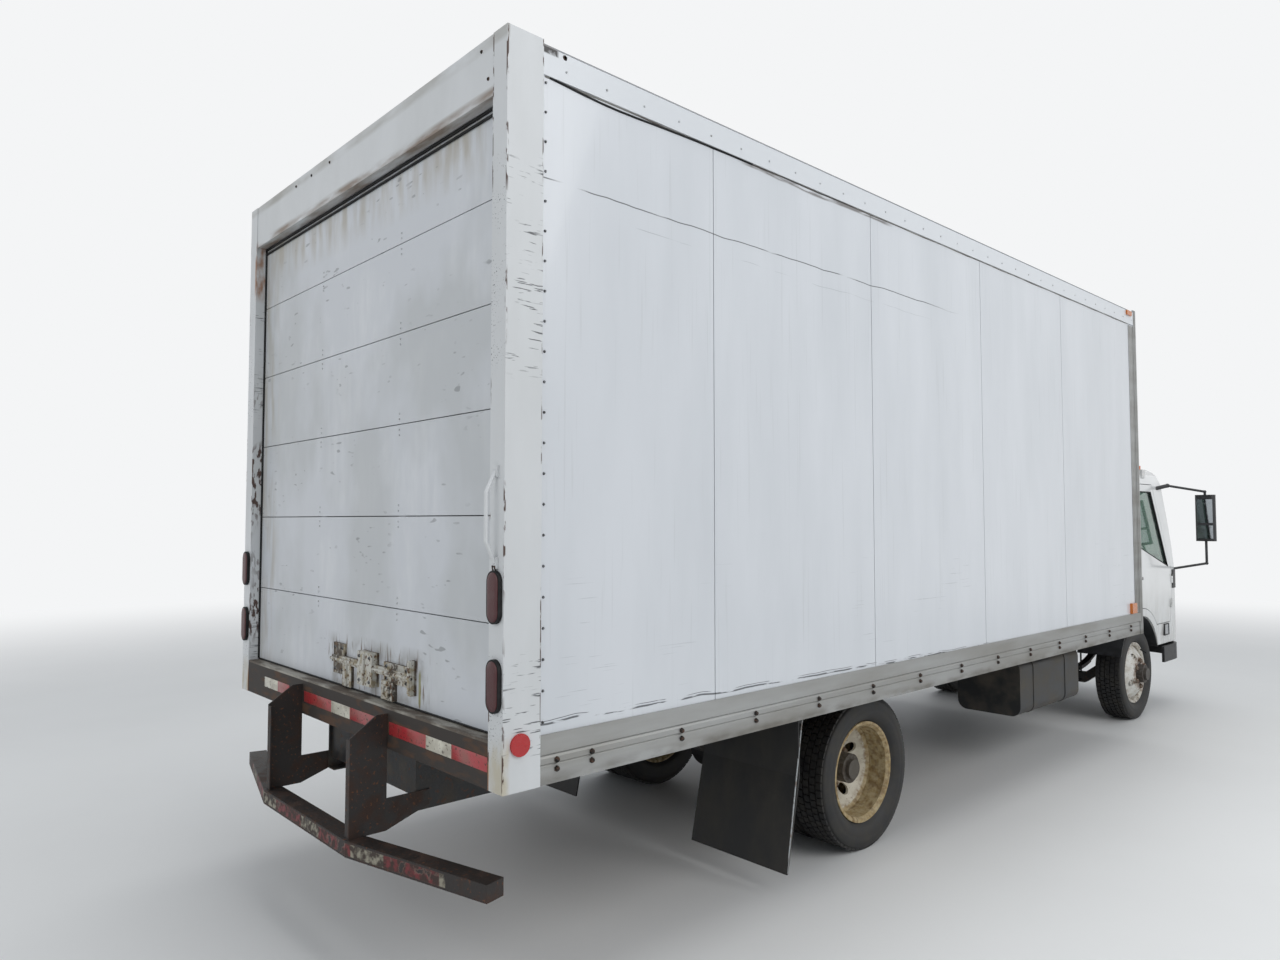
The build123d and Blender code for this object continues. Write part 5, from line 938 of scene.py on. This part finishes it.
def padding(name, xs, profile):
    """A pad's box and its planes: a (y, z) profile across two x places, drawn in and eased."""
    mesh = bmesh.new()
    right, left = [[mesh.verts.new((x, y, z)) for y, z in profile] for x in xs]
    mesh.faces.new(right)
    mesh.faces.new(left[::-1])
    for i in range(len(profile)):
        j = (i + 1) % len(profile)
        mesh.faces.new((right[i], left[i], left[j], right[j]))
    bmesh.ops.recalc_face_normals(mesh, faces=mesh.faces)
    planes = [(face.calc_center_median().copy(), face.normal.copy()) for face in mesh.faces]
    for vert in mesh.verts:
        for point, normal in planes:
            if abs((vert.co - point).dot(normal)) < 1e-5:
                vert.co -= normal * DRAWN_IN
    bmesh.ops.bevel(mesh, geom=mesh.edges[:], offset=EASED, segments=3, profile=0.5, affect="EDGES")
    return mesh_data(mesh, name), planes


def swollen(piece):
    """The pad cut into even cells and swollen by air inside."""
    cells = piece.modifiers.new("cells", "REMESH")
    cells.mode = "VOXEL"
    cells.voxel_size = CELL
    stuffing = piece.modifiers.new("stuffing", "CLOTH").settings
    stuffing.use_pressure = True
    stuffing.uniform_pressure_force = PRESSURE
    stuffing.effector_weights.gravity = 0.0
    for step in range(1, 21):
        bpy.context.scene.frame_set(step)
    data = evaluated(piece)
    bpy.context.scene.frame_set(1)
    bpy.data.objects.remove(piece)
    return data


def cushion(name, xs, profile, seam_xs):
    """A stuffed pad held within its CAD space and sewn along some x places."""
    middle = [sum(axis) / len(profile) for axis in zip(*profile)]
    data, planes = padding(name, xs, profile)
    data = swollen(stand(name, data))
    for vert in data.vertices:
        for point, normal in planes:
            over = (vert.co - point).dot(normal) + 0.001
            if over > 0:
                vert.co -= normal * over
    sewn = placed(name, data, seat_cloth, "seat_cloth", "cab", 60)
    smooth = sewn.modifiers.new("fine", "SUBSURF")
    smooth.levels = smooth.render_levels = 1
    data = evaluated(sewn)
    sewn.modifiers.clear()
    for vert in data.vertices:
        dip = max([exp(-((vert.co.x - x) / SEAM_WIDTH) ** 2) for x in seam_xs])
        inward = Vector((0, middle[0] - vert.co.y, middle[1] - vert.co.z)).normalized()
        vert.co += inward * dip * SEAM_DEPTH
    sewn.data = data
    data.name = name
    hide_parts("seats")


SEAT_BASE = [(FRONT_AXLE + y, z) for y, z in ((-0.33, 1.043), (0.18, 1.043), (0.18, 1.17), (-0.33, 1.17))]
SEAT_BACK = [(FRONT_AXLE + y, z) for y, z in ((0.135, 1.172), (0.25, 1.172), (0.40, 1.74), (0.31, 1.75))]
for name, middle, half, seams in (("driver", 0.5, 0.245, (-0.13, 0.13)), ("bench", -0.33, 0.45, (-0.22, 0.0, 0.22))):
    for part, profile in (("base", SEAT_BASE), ("back", SEAT_BACK)):
        cushion(f"{name}_seat_{part}", (middle - half, middle + half), profile, [middle + s for s in seams])

# %% [markdown]
# Every pane sits in a black rubber section. Its run is read off the glass itself: the edges round
# the faces that look outwards give a closed line. The glass reaches 12 mm behind the skin, so the
# line is drawn in by that and a little more, and a round bead fills the corner there.

# %% Window seals
def welded(node, gap):
    """A CAD piece's mesh in the scene's place, with the points that are closer than a gap merged."""
    mesh = bmesh.new()
    mesh.from_mesh(nodes[node].data)
    mesh.transform(nodes[node].matrix_world)
    bmesh.ops.remove_doubles(mesh, verts=mesh.verts, dist=gap)
    return mesh


FACES_OUT = 0.6  # cosine of the widest angle at which a face still looks outwards
SHORTEST_RUN = 6


def pane_edges(node, outward, inset=0.016, lift=0.006):
    """Closed lines round the faces of a piece that look the given way, drawn in and lifted off."""
    mesh = welded(node, 0.0002)
    facing = {face for face in mesh.faces if face.normal.dot(Vector(outward)) > FACES_OUT}
    beside = {}
    for edge in mesh.edges:
        if sum(face in facing for face in edge.link_faces) == 1:
            for vert in edge.verts:
                beside.setdefault(vert, []).append(edge.other_vert(vert))
    lines = []
    left = set(beside)
    while left:
        line = [min(left, key=lambda vert: vert.index)]
        left.discard(line[0])
        while any(vert in left for vert in beside[line[-1]]):
            line.append(next(vert for vert in beside[line[-1]] if vert in left))
            left.discard(line[-1])
        if len(line) < SHORTEST_RUN:
            continue
        spots = [vert.co.copy() for vert in line]
        turn = sum((a.cross(b) for a, b in zip(spots, spots[1:] + spots[:1])), Vector()).normalized()
        lines.append([])
        for before, here, after in zip(spots[-1:] + spots[:-1], spots, spots[1:] + spots[:1]):
            sides = [turn.cross((here - before).normalized()), turn.cross((after - here).normalized())]
            inwards = (sides[0] + sides[1]).normalized()
            share = inset / max(0.5, inwards.dot(sides[0]))
            lines[-1].append(here + inwards * share + turn * (lift if turn.dot(Vector(outward)) > 0 else -lift))
    mesh.free()
    return lines


MOULDING = (black_plastic, "black_plastic", "cab")
bars("windscreen_seals", pane_edges("cab_glass", (0, -1, 0)), 0.011, *RUBBER, "cab", closed=True)
bars("back_window_seals", pane_edges("cab_glass", (0, 1, 0)), 0.010, *RUBBER, "cab", closed=True)
for name, side in SIDES.items():
    bars(f"door_window_seal_{name}", pane_edges(f"door_glass_{name}", (side, 0, 0)), 0.010, *RUBBER, f"door_{name}",
         closed=True)
bezels = [line for line in pane_edges("cab_lamps", (0, -1, 0), 0.004, 0.001) if len(line) > 20]
bars("headlamp_bezels", bezels, 0.006, *MOULDING, closed=True)
lamp_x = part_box("cab_lamps")[1].x - 0.004
side_frames = mirrored(*[(lamp_x, FRONT_AXLE + y, z) for y, z in
                         ((-0.715, 0.685), (-0.6, 0.685), (-0.6, 0.782), (-0.715, 0.782))])
bars("side_lamp_frames", side_frames, 0.009, *MOULDING, closed=True)

# %% [markdown]
# The cab's shell and doors are stamped sheet, so their bends are smooth. The CAD gives each bend
# as a few flats. A copy of the solid with its doubles merged is shaded smooth across any bend
# under 40 degrees, and weighted by area so that the large flats stay flat.

# %% Smooth cab skins
for node, finish, slot_name, body in (
        ("cab_shell", cab_paint, "white_cab", "cab"), ("cab_door_right", cab_paint, "white_cab", "door_right"),
        ("cab_door_left", cab_paint, "white_cab", "door_left"),
        ("front_bumper", black_plastic, "black_plastic", "chassis")):
    mesh = welded(node, 0.00005)
    bmesh.ops.dissolve_limit(mesh, angle_limit=radians(0.5), verts=mesh.verts, edges=mesh.edges)
    sheet = placed(f"{node}_skin", mesh_data(mesh, f"{node}_skin"), finish, slot_name, body)
    sheet.modifiers.new("flats", "WEIGHTED_NORMAL").keep_sharp = True
    sheet.data = evaluated(sheet)
    sheet.modifiers.clear()
    sheet.data.name = sheet.name
    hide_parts(node)

# %% [markdown]
# Through the glass one sees the driver's place: dials in the binnacle, air vents, the gear lever
# with its knob, the pedals, and a sun visor over each seat. All of it is moulded plastic except
# the levers' rods.

# %% Inside the cab
dial_face = stained("printed_dial_face", "26292C", 0.3, 0.0, [((30, 0.5, 0.7), ("3A3D40", 0.35, 0.5))],
                    Coat_Weight=0.6, Coat_Roughness=0.05)
CAB_RODS = (bolt_metal, "interior_grey", "cab")
DASH_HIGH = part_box("dashboard")[1]
dials = [((x, DASH_HIGH.y + 0.0005, DASH_HIGH.z - 0.065), (0, 1, 0)) for x in (0.405, 0.5, 0.595)]
turned("instrument_dials", dials, ((-0.004, 0.037), (0.004, 0.037), (0.006, 0.035), (0.0035, 0.033)), 32,
       dial_face, "black_plastic", "cab")
blocks("dash_vents", [((x - 0.055, DASH_HIGH.y - 0.004, z), (x + 0.055, DASH_HIGH.y + 0.006, z + 0.006))
                      for x in (-0.72, -0.12, 0.12, 0.80) for z in (1.20, 1.212, 1.224, 1.236)], 0.0015, *MOULDING)
lever_foot = Vector((0.13, FRONT_AXLE - 0.40, 0.86))
bars("gear_lever", [[lever_foot + Vector(step) for step in ((0, 0, 0), (0.01, 0.02, 0.2), (0.02, 0.07, 0.36))]],
     0.007, *CAB_RODS)
turned("gear_knob", [(lever_foot + Vector((0.02, 0.07, 0.35)), (0.05, 0.2, 1))],
       ((0, 0.008), (0.006, 0.017), (0.02, 0.024), (0.036, 0.025), (0.048, 0.019), (0.055, 0.008)), 20, *MOULDING)
PEDALS = ((0.588, 0.652, 0.93, 1.01), (0.468, 0.532, 0.94, 1.02), (0.375, 0.42, 0.88, 1.0))  # from x, to x, foot, top
blocks("pedal_pads", [((left, FRONT_AXLE - 0.93, foot), (right, FRONT_AXLE - 0.918, top))
                      for left, right, foot, top in PEDALS], 0.004, *RUBBER, "cab")
bars("pedal_arms", [[(x, FRONT_AXLE - 0.935, z + 0.05), (x, FRONT_AXLE - 0.95, 1.07), (x, FRONT_AXLE - 0.98, 1.16)]
                    for x, z in ((0.62, 0.93), (0.50, 0.94), (0.3975, 0.9))], 0.006, *CAB_RODS)
blocks("sun_visors", [((x - 0.2, FRONT_AXLE - 0.86, 1.985), (x + 0.2, FRONT_AXLE - 0.74, 2.0)) for x in (-0.42, 0.42)],
       0.006, cab_trim, "interior_grey", "cab")

# %% [markdown]
# Under the body hangs what the CAD leaves to this script: the clamps of the leaf springs, the
# steel strip on the outer edge of each mud flap, and the tank's cap.

# %% Under the chassis
for name, side in SIDES.items():
    legs = [[(side * x, y, 0.34), (side * x, y, 0.60)] for axle in (FRONT_AXLE, REAR_AXLE)
            for y in (axle - 0.06, axle + 0.06) for x in (0.3525, 0.4325)]
    bars(f"spring_clamps_{name}", legs, 0.008, chassis_paint, "chassis_black")
flap_runs = []
for side in SIDES.values():
    edge = [v.co for v in nodes["mud_flaps"].data.vertices if side * v.co.x > 1.09]
    top = max(edge, key=lambda co: co.z)
    foot = min(edge, key=lambda co: co.z)
    flap_runs.append([(side * 1.0925, top.y + 0.003, top.z - 0.01), (side * 1.0925, foot.y + 0.003, foot.z + 0.006)])
bars("flap_strips", flap_runs, 0.0035, galvanised, "galvanised")
turned("tank_cap", [((-0.66, FRONT_AXLE + 2.1, 0.743), (0, 0, 1))],
       ((0, 0.036), (0.012, 0.036), (0.014, 0.042), (0.026, 0.042), (0.029, 0.038)), 24, bolt_metal, "black_plastic")

# %% [markdown]
# The stage is a plain pale floor and soft light from large panels, as in a studio. The photograph
# was taken with the sun off the rear face, so the strongest panel stands at the truck's right
# side and a weaker one behind. Away from the truck the floor takes the backdrop's own colour, so
# that no horizon shows.

# %% Floor, light and air
def seen_rays():
    """Mask of the rays that look at the stage, rather than those that light the truck."""
    rays = add_node("LightPath").outputs
    return either(rays["Is Camera Ray"], rays["Is Glossy Ray"], rays["Is Transmission Ray"])


BACKDROP = {"Color": linear("F4F5F6"), "Strength": 1.0}
floor_paint = new_finish("painted_studio_floor", "E4E4E2", 0.6)
coat(blotches(1500, 0.4, 0.7), "DEDEDC", strength=0.5)
away = add_node("MapRange", {"Value": distance((0, 0, 0), (1, 1, 1)), "From Min": 6.0,
                             "From Max": 17.0}, interpolation_type="SMOOTHSTEP")
faded = add_node("MixShader", {0: both(away, seen_rays()), 1: shader, 2: add_node("Emission", BACKDROP)})
tree.links.new(faded.outputs[0], tree.nodes["Material Output"].inputs["Surface"])
data = bpy.data.meshes.new("studio_floor")
data.from_pydata([(-60, -60, 0), (60, -60, 0), (60, 60, 0), (-60, 60, 0)], [], [(0, 1, 2, 3)])
data.materials.append(floor_paint)
floor = stand("studio_floor", data)

world = bpy.data.worlds.new("studio_air")
bpy.context.scene.world = world
world.use_nodes = True
tree = world.node_tree
tree.nodes.clear()
air = add_node("Background", {"Color": linear("DCE3EC"), "Strength": 0.55})
mix = add_node("MixShader", {0: seen_rays(), 1: air, 2: add_node("Background", BACKDROP)})
add_node("OutputWorld", {"Surface": mix})

PANELS = (  # name, place, aimed at, size, watts
    ("side_panel", (-9.0, 1.0, 6.5), (0, 0.5, 1.5), 7.0, 380),
    ("rear_panel", (-1.0, 12.0, 5.0), (0, 3.5, 1.5), 6.0, 190),
    ("top_panel", (0.0, 0.0, 10.0), (0, 0, 0), 9.0, 420),
)
for name, spot, target, size, watts in PANELS:
    data = bpy.data.lights.new(name, "AREA")
    data.size = size
    data.energy = watts
    lamp = stand(name, data)
    lamp.location = spot
    lamp.rotation_euler = (Vector(target) - Vector(spot)).to_track_quat("-Z", "Y").to_euler()
print("floor, air and", len(PANELS), "panels")

# %% [markdown]
# The camera stands where the photograph's did, found by fitting one camera to the corners of the
# load body.

# %% Camera
YAW = radians(47.39)
PITCH = radians(2.635)
PHOTO_FOCAL = 871.4
PHOTO_WIDTH = 1280
data = bpy.data.cameras.new("photo_camera")
data.lens = PHOTO_FOCAL / PHOTO_WIDTH * 36
camera = stand("photo_camera", data)
camera.location = (-3.672, REAR + 1.624, 1.749)
look = Vector((sin(YAW) * cos(PITCH), -cos(YAW) * cos(PITCH), sin(PITCH)))
camera.rotation_euler = look.to_track_quat("-Z", "Y").to_euler()
bpy.context.scene.camera = camera
bpy.context.scene.view_settings.view_transform = "Standard"
print("camera", [round(v, 3) for v in camera.location], "lens", round(data.lens, 2))
